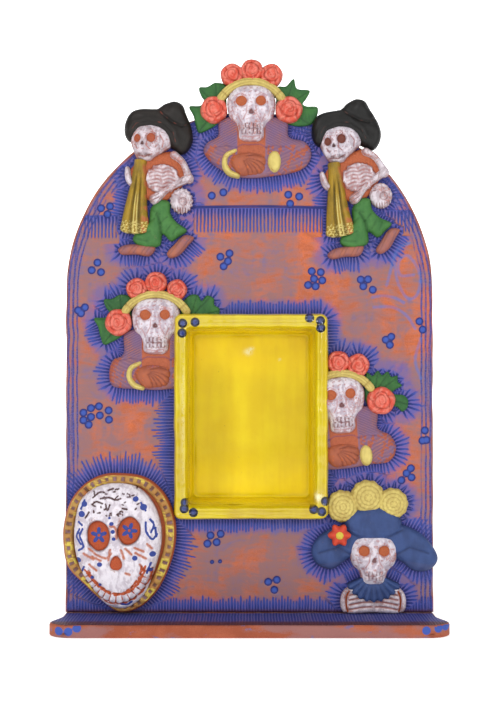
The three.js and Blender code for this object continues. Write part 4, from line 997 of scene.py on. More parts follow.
def torsoForm(x, y, depth, along):
    height = pillow(depth, 4, 1.0, 3.6) + 0.3 * wobble(x, y, 3.4, 27)
    chest = ease(ellipse(x, y, 5.6, 0.6, 11.4, 10) + 0.08 * wobble(x, y, 4, 26), 1.08, 0.94)
    swell = np.sqrt(np.clip(1.1 - ellipse(x, y, 5.6, 0.6, 11.4, 10) ** 2, 0, 1))
    cuts = np.zeros(x.shape)
    for level in musician["ribHeights"]:
        reach = 5.6 + math.sqrt(max(0, 1 - ((level - 0.6) / 10) ** 2)) * 8.6
        path = [(-3, level - 0.4), (1.6, level + 0.5), (5.6, level - 0.5), (10, level + 0.7),
                (reach, level - 0.8)]
        cuts = np.maximum(cuts, groove(x, y, openCurve(path, 1), 1.4) * (0.7 + 0.5 * wobble(x, y, 5, 24)))
    cuts = np.clip(cuts, 0, 1)
    keel = groove(x, y, [(5.6, -7), (6.2, 1), (5.2, 8)], 1.0) * 0.5
    height += chest * (1.2 + 2.2 * swell - cuts - 0.4 * keel)
    pink = np.maximum(cuts * 0.8, ease(wobble(x, y, 5, 22), 0, 0.6) * 0.6) * chest
    strap = groove(x, y, [(-5, 13), (-6.4, 2), (-9, -11)], 3) * 0.8
    ink = np.maximum(cuts, keel * 0.6) * chest
    rim = bell(ellipse(x, y, 5.6, 0.6, 11.4, 10) - 1.03, 0.06) * 0.5
    return height + strap, {"accent": np.maximum(1 - chest, strap), "line": np.maximum(ink * 0.4, rim),
                            "tint": pink}


def limbForm(width, rise, rays):
    def surface(x, y, depth, along):
        height = 1.6 + (rise - 1.6) * np.sqrt(1 - (1 - np.clip(depth / (width / 2), 0, 1)) ** 2)
        height += 0.3 * wobble(x, y, 3.5, 29)
        cuts = np.zeros(x.shape)
        for ray in rays:
            cuts = np.maximum(cuts, groove(x, y, ray, 0.8))
        return height - 1.2 * cuts, {"line": cuts * 0.7}
    return surface


def addMusician(name, lay, skull, hat, gourdRipple):
    press = presser(name, lay)
    press("coat", smooth(musician["coat"]), torsoForm, "bone", "bone_paint", ["torso"], pitch=0.36,
          cavityScale=0.6)
    press("trousers", smooth(musician["trousers"]), trousersForm, "trousers", "leaf_paint", ["legs"])
    for shoe in ("leftShoe", "rightShoe"):
        press(shoe, smooth(musician[shoe]), shoeForm, "shoe", "bare_clay", ())
    press("gourd", oval(18.6, -14.4, 7.9, 8.9, ripple=gourdRipple, waves=17), gourdForm, "bone",
          "bone_paint", ["gourd"], pitch=0.4)
    for limb, (path, widths, dome) in musician["limbs"].items():
        cuts = musician["fingers"] if limb == "forearm" else ()
        press(limb, strip(path, *widths), limbForm(*dome, cuts), "bone", "bone_paint", (),
              combed=limb == "far_hand", pitch=0.4)
    horn = musician["horn"]
    path = openCurve(horn["path"], 1.0)
    t = np.linspace(0, 1, len(path))
    half = (horn["start"] + horn["flare"] * t ** 1.4) / 2
    ahead = np.gradient(path, axis=0)
    ahead /= np.linalg.norm(ahead, axis=1)[:, None]
    side = np.stack([-ahead[:, 1], ahead[:, 0]], 1)
    mouth = [path[-1] + half[-1] * (side[-1] * math.cos(a) + ahead[-1] * 0.3 * math.sin(a))
             for a in np.linspace(0.3, math.pi - 0.3, 9)]
    outline = even(np.vstack([path + side * half[:, None], mouth, (path - side * half[:, None])[::-1]]))
    press("horn", outline, hornForm, "horn", "horn_paint", ["horn"], pitch=0.4)
    press("skull", smooth(musician["skull"]["outline"]), skullForm(musician["skull"]), skull, "bone_paint",
          ["skull"], combed=False, pitch=0.42)
    press("hat", smooth(musician["hat"]), hatForm, hat, "hat_paint", ["hat"])


addMusician("left_musician", onPanel(-66.2, 311.5), "pinkSkull", "hat", 0.05)
addMusician("right_musician", onPanel(70.8, 311.5, 10.5), "darkSkull", "blackHat", 0.012)
print("musicians pressed")


# Hat lady: a skull under a wide blue hat with marigolds, a pleated collar and a bare rib cage

hatLady = {
    "skull": {
        "outline": mirrored([(0, 17.5), (8.2, 16.7), (13.5, 13.7), (16.5, 7.7), (16.2, 1.4), (14.2, -4.3),
                             (9.9, -9), (8.9, -12.2), (8.2, -16.6), (5, -18.5), (0, -18.7)]),
        "reach": 11, "rim": 2.6, "height": 11, "seed": 5, "socketDepth": 2.2,
        "sockets": [(-6.9, 6.1, 4.0, 3.8, 0), (6.9, 6.1, 4.0, 3.8, 0)],
        "nose": (0, -0.4, 1.6, 1.8), "noseInk": 0.7,
        "teeth": (0, -11.2, 13.8, 7.4, 0, 2.6), "toothInk": 0.85,
        "swells": [(-10.4, 0.4, 4, 2.5, 1.1), (10.4, 0.4, 4, 2.5, 1.1), (0, 3, 2, 4.6, 1.0),
                   (0, 11, 9, 3, 0.6), (-10.2, -6, 3, 3.2, -1.4), (10.2, -6, 3, 3.2, -1.4),
                   (0, -11.2, 7, 4.6, 1.0)],
        "scratches": [([(-3, 3), (-3.6, -1.8), (-6, -5.6)], 0.8), ([(3, 3), (3.6, -1.8), (6, -5.6)], 0.8),
                      ([(-12.6, 1.4), (-10.8, -3)], 0.7), ([(12.6, 1.4), (10.8, -3)], 0.7)],
        "scratchInk": 0.7,
    },
    "brim": [(-43, 6), (-37, 16), (-23, 22.8), (0, 25.6), (23, 22.6), (37, 14), (45, 0), (40, -7.5),
             (29, -8.6), (16, 0), (0, 4), (-16, 0.5), (-29, -7.4), (-39.6, -3.6)],
    "crownLine": [(-20, 20), (-11, 15.6), (0, 14.4), (11, 15.6), (20, 20)],
    "crown": (0, 24, 20, 13),
    "flower": (-24, 17, 7), "eye": 2.6,
    "marigolds": [(-21.5, 36.5, 11), (-4, 43, 11.6), (13.5, 38.4, 10.6)],
    "collar": {"centre": (0, -9), "inner": 6, "outer": 21, "first": 205, "last": 335, "pleats": 9},
    "chest": [(-20, -22), (0, -14), (20, -22), (23, -30), (21, -37), (0, -37.6), (-21, -37), (-23, -30)],
    "ribHeights": [-24.8, -28.2, -31.6, -35],
}


def wideHatForm(x, y, depth, along):
    height = pillow(depth, 6, 2, 6.6) + 0.25 * wobble(x, y, 9, 41)
    crown = ease(ellipse(x, y, *hatLady["crown"]), 1.0, 0.8)
    height += 2.6 * crown * np.sqrt(np.clip(1.02 - ellipse(x, y, *hatLady["crown"]) ** 2, 0, 1))
    band = groove(x, y, hatLady["crownLine"], 1.4)
    side = np.abs(x)
    fold = groove(side, y, [(16, 3), (25, 8), (38, 4)], 1.6)
    under = ease(y - 4 + side * 0.14, 3, -3) * ease(side, 13, 18)
    return height - 1.1 * band - 0.8 * fold, {"line": np.maximum(band * 0.45, fold * 0.5),
                                             "accent": under * 0.42}


def crownForm(x, y, depth, along):
    return pillow(depth, 7, 2, 8.8) + 0.2 * wobble(x, y, 8, 44), {}


def flowerForm(x, y, depth, along):
    cx, cy, radius = hatLady["flower"]
    r = np.hypot(x - cx, y - cy) / radius
    angle = np.arctan2(y - cy, x - cx)
    petal = 0.5 + 0.5 * np.cos(6 * angle)
    eye = ease(r, hatLady["eye"] / radius + 0.04, hatLady["eye"] / radius - 0.04)
    height = 9.6 + pillow(depth, 2.6, 0, 1.6) + petal * 0.5
    height += eye * 1.2 * np.sqrt(np.clip(1 - (r / 0.42) ** 2, 0, 1))
    return height, {"line": (1 - petal) * ease(r, 0.4, 0.7) * 0.45, "stroke": eye}


def marigoldForm(cx, cy, radius, rise):
    def surface(x, y, depth, along):
        r = np.hypot(x - cx, y - cy) / radius
        angle = np.arctan2(y - cy, x - cx)
        height = 1.6 + (rise - 1.6) * np.sqrt(np.clip(1 - (r * 0.94) ** 2, 0, 1))
        tiers = (r * 4.2) % 1
        tier = np.floor(r * 4.2)
        frill = 0.5 + 0.5 * np.cos(angle * (5 + 4 * tier) + tier * 1.7)
        height += (tiers ** 1.5 - ease(tiers, 0.82, 1)) * 1.3
        height -= (1 - frill) * 0.5 * tiers * ease(r, 0.1, 0.3)
        return height, {"line": np.maximum(bell(tiers - 0.95, 0.09) * 0.5, (1 - frill) * tiers * 0.42)}
    return surface


def collarForm(x, y, depth, along):
    look = hatLady["collar"]
    cx, cy = look["centre"]
    angle = np.degrees(np.arctan2(y - cy, x - cx)) % 360
    pleat = ((angle - look["first"]) / (look["last"] - look["first"]) * look["pleats"]) % 1
    r = np.hypot(x - cx, y - cy)
    ridge = 1 - np.abs(pleat * 2 - 1) ** 1.4
    height = 5.2 + pillow(depth, 2.2, 0.2, 1.8) + ridge * 1.5 * ease(r, 8, 14)
    return height, {"line": ease(ridge, 0.3, 0.0) * 0.6}


def chestForm(x, y, depth, along):
    height = pillow(depth, 3.4, 1.0, 4.2) + 0.25 * wobble(x, y, 3.6, 43)
    side = np.abs(x)
    body = ease(side, 18.6, 17.4)
    cuts = np.zeros(x.shape)
    for level in hatLady["ribHeights"]:
        path = openCurve([(0.8, level + 1.6), (8, level + 1.2), (17, level - 0.6)], 1)
        cuts = np.maximum(cuts, groove(side, y, path, 1.2))
    gap = groove(side, y, openCurve([(17, -22.6), (18.8, -27), (18.9, -32), (17.8, -37)], 1), 1.5)
    keel = ease(side, 1.6, 0.9)
    height += body * (1.4 - 1.5 * cuts * (1 - keel))
    height += boneOver(side, y, [(20.4, -22), (21.6, -29), (20.8, -37)], 4, 1.8)
    height = height - gap * 1.6 + boneOver(side, y, [(1, -18), (10, -19.6), (19, -22.4)], 3, 1.4)
    return height, {"accent": gap, "line": cuts * (1 - keel) * body * (0.4 + 0.5 * wobble(x, y, 4, 42)),
                    "tint": cuts * 0.6}


def addHatLady(name, lay):
    press = presser(name, lay, frameBlock)
    press("rib_cage", smooth(hatLady["chest"]), chestForm, "bone", "bone_paint", ["torso"], pitch=0.4)
    look = hatLady["collar"]
    cx, cy = look["centre"]
    turns = np.radians(np.linspace(look["first"], look["last"], 181))
    frill = look["outer"] - 1.1 * (0.5 + 0.5 * np.cos(np.linspace(0, look["pleats"] * math.tau, 181)))
    rims = ((frill, turns), (look["inner"], turns[::-1]))
    outline = np.vstack([np.stack([cx + r * np.cos(a), cy + r * np.sin(a)], 1) for r, a in rims])
    press("collar", even(outline), collarForm, "blue", "blue_paint", ["collar"], pitch=0.4)
    for i, (x, y, radius) in enumerate(hatLady["marigolds"]):
        press(f"marigold_{i + 1}", oval(x, y, radius, radius, ripple=0.03, waves=11),
              marigoldForm(x, y, radius, 9.2 + 0.5 * (i == 1)), "band", "pale_yellow_paint",
              ["marigolds"] if i == 0 else (), pitch=0.4)
    press("hat", smooth(hatLady["brim"]), wideHatForm, "blue", "blue_paint", ["hat"])
    press("hat_crown", oval(*hatLady["crown"]), crownForm, "blue", "blue_paint", ())
    press("skull", smooth(hatLady["skull"]["outline"]), skullForm(hatLady["skull"]), "skull", "bone_paint",
          ["skull"], combed=False)
    x, y, radius = hatLady["flower"]
    press("flower", oval(x, y, radius, radius, ripple=0.14, waves=6), flowerForm, "flower", "rose_paint",
          ["flower"], combed=False, pitch=0.3, skirt=((0, 6.5),))


addHatLady("hat_lady", onPanel(86.3, 47.5))
print("hat lady pressed")


# Medallion: an egg-shaped plaque with a pressed rim round a painted sugar skull

medallion = {
    "outline": [(0, 42), (18, 39), (31, 28), (38, 12), (39, -5), (35, -22), (26, -40), (13.4, -51.6),
                (0, -54.6), (-12, -47), (-24, -36), (-36, -23), (-39.2, -8), (-39, 6), (-34, 23),
                (-24, 35), (-12, 41)],
    "height": 7.6, "floor": 3.2, "rimWide": 7.6, "presses": 46, "pressPitch": 5.6, "pressDeep": 1.3,
    "skull": [(0, 35.6), (12, 33), (22, 24), (28.6, 8), (29, -8), (24, -26), (16.4, -43.2), (4.4, -51.4),
              (-8, -49.4), (-19, -37), (-27, -24), (-31, -10), (-31, 8), (-26, 25), (-14, 33.6)],
    "eyes": [(-13.6, -0.2, 7.6, 10.2, 8), (7.4, 3.0, 7.6, 9.6, -12)],
    "petals": [(5, 90), (5, 70)],
    "nose": (-1.6, -19.2, 4.1, 5.0),
    "mouth": [(-24.4, -25), (-19.4, -32.8), (-13.2, -39), (-6, -42.8), (1, -43.8), (8, -41.4), (14, -35.8),
              (18.2, -28.8), (20, -21)],
    "lip": [(-23, -24), (-17, -31.6), (-11, -36.8), (-4.4, -40.2), (3, -40.2), (10.4, -36.6), (15.6, -30),
            (18.4, -21.4)],
    "mouthHalf": 3.6, "tooth": 4.4,
    "blueDots": [(-4.6, 8, 1.5), (-3.6, 2.6, 1.5), (-3, -2.4, 1.4), (-23.6, 21.5, 2.2), (-25.4, 14.5, 2.4),
                 (12, 25, 2.0), (17.4, 19.4, 2.4), (-28, -17.4, 2.1), (-12.8, -20, 1.8), (11.5, -15.6, 1.9),
                 (23.6, -13, 2.2), (22, -24, 1.6), (-18, -29, 1.3), (-12.6, -34, 1.1), (-6, 12, 1.0)],
    "blueStrokes": [[(-27, 4), (-29, -1), (-26, -6)],
                    [(-24.6, 4.4), (-26.6, -0.6), (-24, -7.6), (-27.6, -10.6)],
                    [(22, 11), (24.4, 7), (22.6, 2)], [(19, 9), (19.4, 2.4), (23.4, -2.6), (26.6, 0.6)],
                    [(25.4, 5), (26, -1)], [(-23.6, 24), (-26, 18)], [(15.6, 22.4), (19, 17)],
                    [(-24, -22), (-26, -26)], [(2, -47.6), (6, -48), (9, -46)], [(22.4, -19), (19.6, -26)],
                    [(-27.6, 9), (-25, 7)]],
    "brownStrokes": [[(-17.6, 26), (-13, 29.6), (-9.4, 29.4)], [(-7, 31), (-3.4, 32)],
                     [(-18, 21.4), (-15, 23.2), (-11, 22)], [(-12, 25.4), (-6, 26), (-2, 24.4), (1.6, 25.4)],
                     [(-8.6, 21.4), (-7.4, 17.4), (-5.6, 21)], [(3, 18.6), (6, 18)],
                     [(-1, 14.4), (0.4, 13.4)], [(-20, 16), (-22.6, 12)]],
    "pinkStrokes": [[(-5.4, 6.4), (-1.6, 5), (-1, -2)], [(-20, -9), (-14, -13.6), (-8, -15.6), (-5, -12.4)],
                    [(-18, -14.6), (-12, -17.4)], [(2, -10), (4, -16)], [(-24, -12.6), (-17, -16.4)],
                    [(11.4, -8.6), (17.4, -11)], [(12, -12), (19, -16)], [(5, -9), (9, -13)],
                    [(20, -6), (23, -9)], [(-5.6, -10), (-6.6, -17)], [(1, -1), (0.6, 5), (3, 9)],
                    [(-20, -20), (-15, -24)], [(15, -20), (18, -25)], [(5, -26), (8, -27)]],
    "specks": {"seed": 57, "count": 32, "ranges": [(-19, 14), (10, 33), (0, 3.1), (0.4, 2.2)]},
}


def plaqueForm(x, y, depth, along):
    look = medallion
    rimHeight = look["floor"] + (look["height"] - look["floor"]) * np.sqrt(
        np.clip(1 - ((depth - look["rimWide"] / 2) / (look["rimWide"] / 2)) ** 2, 0, 1))
    height = np.where(depth < look["rimWide"], np.maximum(rimHeight, 2.4), look["floor"])
    height += 0.3 * wobble(x, y, 6, 51)
    cell = (along * look["presses"]) % 1
    rank = np.floor(along * look["presses"])
    tall = 1.5 + 0.35 * np.sin(rank * 5.1)
    box = np.maximum(np.abs(cell - 0.5) * look["pressPitch"] - 1.15,
                     np.abs(depth - look["rimWide"] * 0.5) - tall)
    stamp = ease(box, 0.35, -0.15)
    edge = bell(box + 0.05, 0.35) * ease(wobble(x, y, 5, 52), -0.6, 0.1)
    bare = np.maximum(ease(depth, 1.5, 0.9), ease(depth, look["rimWide"] - 0.8, look["rimWide"] + 0.2))
    # Painted highlights: pale yellow glints scattered over the rim
    glint = ease(wobble(x, y, 16, 54) + 0.5 * wobble(x, y, 3, 62), 0.1, 0.35)
    return height - stamp * look["pressDeep"], {"accent": bare, "stroke": stamp * 0.62, "line": edge * 0.8,
                                                "glint": glint * (1 - bare)}


def sugarForm(x, y, depth, along):
    look = medallion
    height = 3.4 + pillow(depth, 13, 1.8, 11.2) + 0.3 * wobble(x, y, 4, 53)
    accent = np.zeros(x.shape)
    stroke = np.zeros(x.shape)
    line = np.zeros(x.shape)
    for (cx, cy, rx, ry, turn), (count, lean) in zip(look["eyes"], look["petals"]):
        rim = ellipse(x, y, cx, cy, rx, ry, turn) + 0.03 * wobble(x, y, 7, 56)
        height = height - ease(rim, 1.12, 0.86) * 3.2 + bell(rim - 1.2, 0.14) * 1.0
        accent = np.maximum(accent, ease(rim, 1.05, 0.98))
        line = np.maximum(line, bell(rim - 1.03, 0.06) * (0.7 + 0.4 * wobble(x, y, 9, 58)))
        angle = np.degrees(np.arctan2(y - cy, x - cx)) - lean
        r = np.hypot(x - cx, y - cy)
        petal = 2.5 + 3.6 * (0.5 + 0.5 * np.cos(np.radians(angle) * count)) ** 0.8
        bloom = ease(r, petal, petal - 0.7) * ease(r, 0.8, 1.2)
        height += bloom * 0.5
        stroke = np.maximum(stroke, bloom)
    cx, cy, rx, ry = look["nose"]
    nose = pit(x, y, cx, cy, rx * (1.25 - 0.25 * (y - cy + ry) / ry), ry, 0.16)
    height -= nose * 2.2
    accent = np.maximum(accent, ease(nose, 0.3, 0.7))
    line = np.maximum(line, bell(nose - 0.4, 0.25) * 0.4)
    mouth = openCurve(look["mouth"], 0.5)
    reach, way = toPath(x, y, mouth)
    total = toPath(*np.array(look["mouth"][-1:]).T, mouth)[1][0]
    span = ease(way, 0.1, 1.2) * ease(way, total - 0.1, total - 1.2)
    phase = (way / look["tooth"]) % 1
    bulge = look["mouthHalf"] - 1.1 + 1.1 * np.sin(phase * math.pi) ** 0.6
    lips = bell(reach - bulge, 1.1) * span
    gaps = bell(np.minimum(phase, 1 - phase) * look["tooth"], 0.72) * span
    gaps *= ease(reach, bulge + 0.3, bulge - 0.3)
    outerLip = bell(reach - look["mouthHalf"] - 0.4, 0.9) * span * ease(wobble(x, y, 6, 59), -0.4, 0.2)
    teeth = span * ease(reach, bulge - 0.2, bulge - 0.9)
    height = height + teeth * 0.9 - 0.8 * np.maximum(lips, gaps)
    upper = toPath(x, y, openCurve(look["lip"], 0.8))[0] + 0.5 * wobble(x, y, 3, 63)
    upper = ease(upper, 1.2, 0.6) * ease(wobble(x, y, 7, 64), -0.55, -0.2)
    accent = np.maximum(accent, np.maximum(np.maximum(lips, outerLip), gaps * 0.9)
                        * (0.72 + 0.3 * wobble(x, y, 5, 55)))
    accent = np.maximum(accent, upper)
    line = np.maximum(line, np.maximum(gaps, lips) * ease(wobble(x, y, 4, 60), 0.1, 0.5) * 0.7)
    for cx, cy, radius in look["blueDots"]:
        dot = pit(x, y, cx, cy, radius, radius * 0.9, 0.12)
        height -= dot * 0.4
        stroke = np.maximum(stroke, dot)
    draw = np.random.default_rng(look["specks"]["seed"])
    specks = []
    for _ in range(look["specks"]["count"]):
        cx, cy, angle, length = (draw.uniform(*ends) for ends in look["specks"]["ranges"])
        specks.append([(cx, cy), (cx + length * math.cos(angle), cy + length * math.sin(angle))])
    tint = np.zeros(x.shape)
    for kind, width in (("blueStrokes", 1.1), ("brownStrokes", 0.85), ("pinkStrokes", 1.3), ("specks", 0.7)):
        for path in specks if kind == "specks" else look[kind]:
            away = toPath(x, y, openCurve(path, 0.8))[0] + 0.25 * wobble(x, y, 2.6, 61)
            cut = ease(away, width, width * 0.35)
            height -= cut * 0.35
            if kind == "blueStrokes":
                stroke = np.maximum(stroke, cut)
            elif kind == "pinkStrokes":
                tint = np.maximum(tint, cut * 0.9)
            else:
                line = np.maximum(line, np.minimum(cut * 1.6, 1))
    return height, {"accent": accent, "stroke": stroke, "line": line, "tint": tint}


def addMedallion(lay):
    outline = smooth(medallion["outline"])
    combFrom(lay, outline, 15)
    relief("medallion_plaque", lay, [outline], plaqueForm, materials["plaque"], pitch=0.5,
           nodes=["medallion_plaque"], slot="ochre_paint", keepOut=frameBlock)
    relief("sugar_skull", lay, [smooth(medallion["skull"])], sugarForm, materials["sugar"], pitch=0.42,
           skirt=((0, 2.8),), nodes=["sugar_skull"], slot="bone_paint")


addMedallion(onPanel(-90.4, 65))
print("medallion pressed")


# Burnished ground: orange clay under a mauve haze, blue slip left in comb strokes, dots and ruled lines

ground = {
    "orange": "cd6836", "rust": "aa5834", "mauve": "8a6262", "violet": "68608a", "band": "3c4fa6",
    "blue": "384a9c", "navy": "232a68", "umber": "562a20", "dot": "3850a0", "curl": "4c68ac",
    "strokePitch": 2.05, "strokeHalf": 0.56, "border": (2.4, 5.6, 8.4),
}


def combedSlip():
    paint = Paint("combedSlip")
    u, d, reach, spread = (paint.value(key) for key in ("combU", "combD", "combReach", "combSpread"))
    ruled, calm = paint.value("ruled"), paint.value("calm").step(0.1, 0.9)
    edge, dot, line, scroll = (paint.value(key) for key in ("edgeD", "dotD", "lineD", "scrollD"))
    bare = paint.value("bare")
    swirl = paint.swirl(22, 0.035)
    broad = paint.noise(34, 4, place=swirl)
    patch = paint.noise(15, 3, rough=0.6)
    fine = paint.noise(1000, 4, rough=0.7)
    brushed = paint.noise(260, 4, stretch=(0.16, 1, 1), place=swirl)
    crossed = paint.noise(240, 3, stretch=(1, 1, 0.14), place=swirl)
    upright = paint.noise(300, 3, stretch=(1, 1, 0.06))
    height = paint.parts()[2]

    clay = paint.mix((brushed * 0.5 + fine * 0.5).step(0.4, 0.6), ground["rust"], ground["orange"])
    grit = (paint.noise(420, 3, stretch=(0.3, 1, 1)) * 0.7 + fine * 0.4).step(0.42, 0.7)
    haze = (patch * 0.75 + broad * 0.55 + brushed * 0.5 + crossed * 0.25).step(0.84, 1.14)
    # Painted shade: more mauve haze towards the foot of the panel
    haze = (haze + height.step(0.26, 0.02) * 0.22 + grit * 0.34 - 0.19).clamp()
    body = paint.mix((haze * 0.95 + 0.08).clamp(), clay, ground["mauve"])
    smear = (broad * 0.5 + brushed * 0.45 + crossed * 0.35 + patch * 0.2).step(0.79, 0.99)
    body = paint.mix(smear * 0.75, body, ground["violet"])

    wander = paint.noise(70, 2)
    phase = u / ground["strokePitch"] + wander * 0.7
    cell = phase.floor()
    dice = paint.out(paint.node("ShaderNodeTexWhiteNoise", {"noise_dimensions": "1D"}, {"W": cell}), "Value")
    side = abs(phase.fract() - 0.5) * ground["strokePitch"] * spread
    loose = 1 - ruled
    share = d / (reach * (ruled + loose * (0.68 + dice * 0.42)))
    width = ground["strokeHalf"] - share * 0.2 + fine * 0.3 - 0.12 + dice * 0.12
    stroke = (width - side).step(-0.14, 0.14) * share.step(1.04, 0.92)
    fan = spread.step(2.9, 1.7)
    gap = (side - width).step(0.0, 0.4)
    band = (d - dice * 2 - fine * 2.6 - crossed * 3 - broad * 2 + ruled * 3).step(7.6, 0.5)
    band *= 0.55 + fan * 0.45
    near = share.step(1.1, 0.35)
    body = paint.mix(near * (0.2 + broad * 0.4), body, ground["mauve"])
    body = paint.mix(near * (crossed * 0.55) * (0.5 + ruled * 0.6), body, ground["violet"])
    pooled = paint.mix(broad.step(0.45, 0.75) * 0.45, ground["band"], ground["violet"])
    body = paint.mix(band * (0.97 - gap * 0.26), body, pooled)
    ink = paint.mix((share.step(0.75, 0.1) * 0.8 + fine * 0.3).clamp(), ground["blue"], ground["navy"])
    marks = stroke * (1 - calm * 0.75) * (0.1 + fan * 0.9)
    broken = (fine * 0.5 + brushed * 0.5 + crossed * 0.3 + dice * 0.4).step(0.45, 0.8) * 0.5 + 0.5
    body = paint.mix((marks * broken).clamp(), body, ink)

    strip = edge.step(10.5, 7) * (0.55 + upright * 0.5)
    body = paint.mix(strip * (broad + upright * 0.5).step(0.5, 0.9) * 0.35, body, ground["violet"])
    ragged = upright * 0.9 + broad * 0.5
    rule = None
    for i, spot in enumerate(ground["border"]):
        one = abs(edge - spot - wander * 2.4 + 1.2).step(1.1 - i * 0.15, 0.35)
        one *= ragged.step(0.36 + i * 0.08, 0.54 + i * 0.08)
        rule = one if rule is None else rule.top(one)
    streak = (upright * 0.9 + fine * 0.3).step(0.63, 0.73) * edge.step(12, 3) * edge.step(0.9, 2.2) * 0.8
    rule = rule.top(streak)
    body = paint.mix(rule * (0.6 + fine * 0.5), body,
                     paint.mix(fine.step(0.35, 0.65), ground["blue"], ground["navy"]))
    rules = line.step(1.3, 0.5) * (0.7 + broad * 0.5)
    body = paint.mix(rules.clamp(), body, ground["navy"])
    curl = (scroll.step(1.7, 0.3) * (broad * 1.1 + brushed * 0.9 - 0.3)).clamp()
    body = paint.mix(curl * 0.7, body, ground["curl"])
    # Painted shade: dark brown at the foot of the panel, in patches along its rim, and near the front of the
    # base's top
    body = paint.mix((paint.value("umber") * (0.45 + fine * 0.9)).clamp(), body, ground["umber"])
    dots = (dot + fine * 0.5).step(3.3, 2.9)
    body = paint.mix(dots, body,
                     paint.mix((dot + fine * 1.4).step(1.8, 3.2), ground["dot"], ground["navy"]))
    raw = paint.mix((broad * 0.7 + fine * 0.4).step(0.45, 0.68), "90482f", "a65a3e")
    raw = paint.mix((paint.noise(60, 4, stretch=(0.4, 1, 1)) + fine * 0.15).step(0.56, 0.68) * 0.75, raw,
                    ground["mauve"])
    raw = paint.mix((paint.noise(150, 3, stretch=(0.5, 1, 1)) + fine * 0.2).step(0.74, 0.8) * 0.8, raw,
                    ground["violet"])
    raw = paint.mix(dots, raw, ground["dot"])
    behind = paint.parts(paint.normal)[1].step(0.5, 0.8)
    stripped = (bare + fine * 0.4 - 0.2).step(0.35, 0.65).top(behind)
    body = paint.mix(stripped, body, raw)
    rough = 0.56 + fine * 0.16 - haze * 0.04
    cuts = marks.top(rules) * (1 - stripped)
    return paint.finish(body, rough, fine * 0.25 + brushed * 0.2 - cuts * 0.7, 0.0006,
                        Specular_IOR_Level=0.25)


materials["ground"] = combedSlip()

panel = {"half": 129, "spring": 231, "archPower": 2.06, "edge": 1.6, "foot": 9.3, "footComb": 11,
         "frameComb": 9.5, "wideFrameComb": 15, "pitch": 0.9}

# Impressed dots on the panel, in millimetres from its middle line and from the foot, and how much smaller
dots = [(-26.4, 301.1), (-18.3, 303.4), (27.2, 301.8), (34.8, 300.5), (28.5, 295.4), (-20.4, 258.3),
        (-14.0, 260.7), (-15.1, 255.2), (-18.1, 251.6), (43.6, 248.2), (49.9, 247.5), (45.2, 242.9),
        (51.0, 241.8), (41.0, 238.5), (46.3, 237.6), (-104.0, 292.3), (-97.7, 293.7), (-99.5, 288.0),
        (-106.5, 254.2), (-110.5, 248.9), (-104.0, 247.5), (-116.3, 149.1), (-111.0, 152.3), (-105.4, 153.6),
        (-98.6, 150.7), (-111.0, 146.1), (-104.8, 147.2), (-98.4, 144.2), (-116.3, 143.9), (-112.6, 140.7),
        (-27.3, 63.2), (-20.2, 64.2), (-29.5, 57.4), (-23.0, 58.4), (-26.2, 44.6, 1.3), (-20.6, 45.0, 1.3),
        (13.1, 30.7), (19.1, 32.1), (17.4, 25.1), (77.9, 242.3), (83.0, 242.5), (79.7, 237.6), (86.3, 235.2),
        (119.0, 213.1), (121.3, 207.3), (95.4, 200.2), (99.3, 202.3), (98.3, 196.6), (122.8, 136.7),
        (121.1, 129.6), (124, 130.0), (113.0, 110.2), (113.5, 103.8), (110.0, 106.7), (106.4, 101.8),
        (-120.1, 220.8), (-115.2, 222.9), (-118.0, 218.7)]
baseDots = [(-127.2, 4.7), (-120.6, 4.5), (-114.8, 6.9), (117.7, 5.3), (125.9, 6.6), (131.4, 7.4)]

# Rows of comb strokes under a ruled line: from, to, height of the line, length of the strokes
combRows = [(-39, 53, 292.9, 18.4), (-116, -91, 287, 16.5), (95, 117, 291, 16)]
ruledLines = [[(-40, 293), (8, 293.6), (55, 292.6)], [(-116, 287.6), (-92, 287)], [(94, 291.6), (116, 290.6)]]


def arc(cx, cy, radius, first, last, shrink=0.0):
    turns = np.radians(np.linspace(first, last, 40))
    reach = radius * (1 - shrink * np.linspace(0, 1, 40))
    return [(cx + r * math.cos(a), cy + r * math.sin(a)) for a, r in zip(turns, reach)]


# Curls brushed thinly on the right, and scored arcs
curls = [[(101.5, 254), (104, 240), (111, 229), (118, 233), (119, 247), (111, 259), (104.5, 255),
          (105.5, 245.5), (115, 245.5)], [(86, 230), (94, 231), (103, 229), (108, 226)],
         [(87, 223), (100, 223), (110, 217), (116, 208)], [(120, 201), (116, 186), (120, 173)],
         [(96, 238), (103, 262), (112, 268)]]
scored = [[(80, 213), (88, 215), (97, 210), (105, 203), (110, 194), (111, 184)],
          arc(84, 199, 21, 20, 130, 0.1)]


def surfaceMarks(x, y, spots):
    best = np.full(x.shape, 1e3)
    for cx, cy, *less in spots:
        best = np.minimum(best, np.hypot(x - cx, y - cy) + sum(less))
    return best


def nearPaths(x, y, paths):
    return np.minimum.reduce([toPath(x, y, openCurve(path, 1.5))[0] for path in paths])


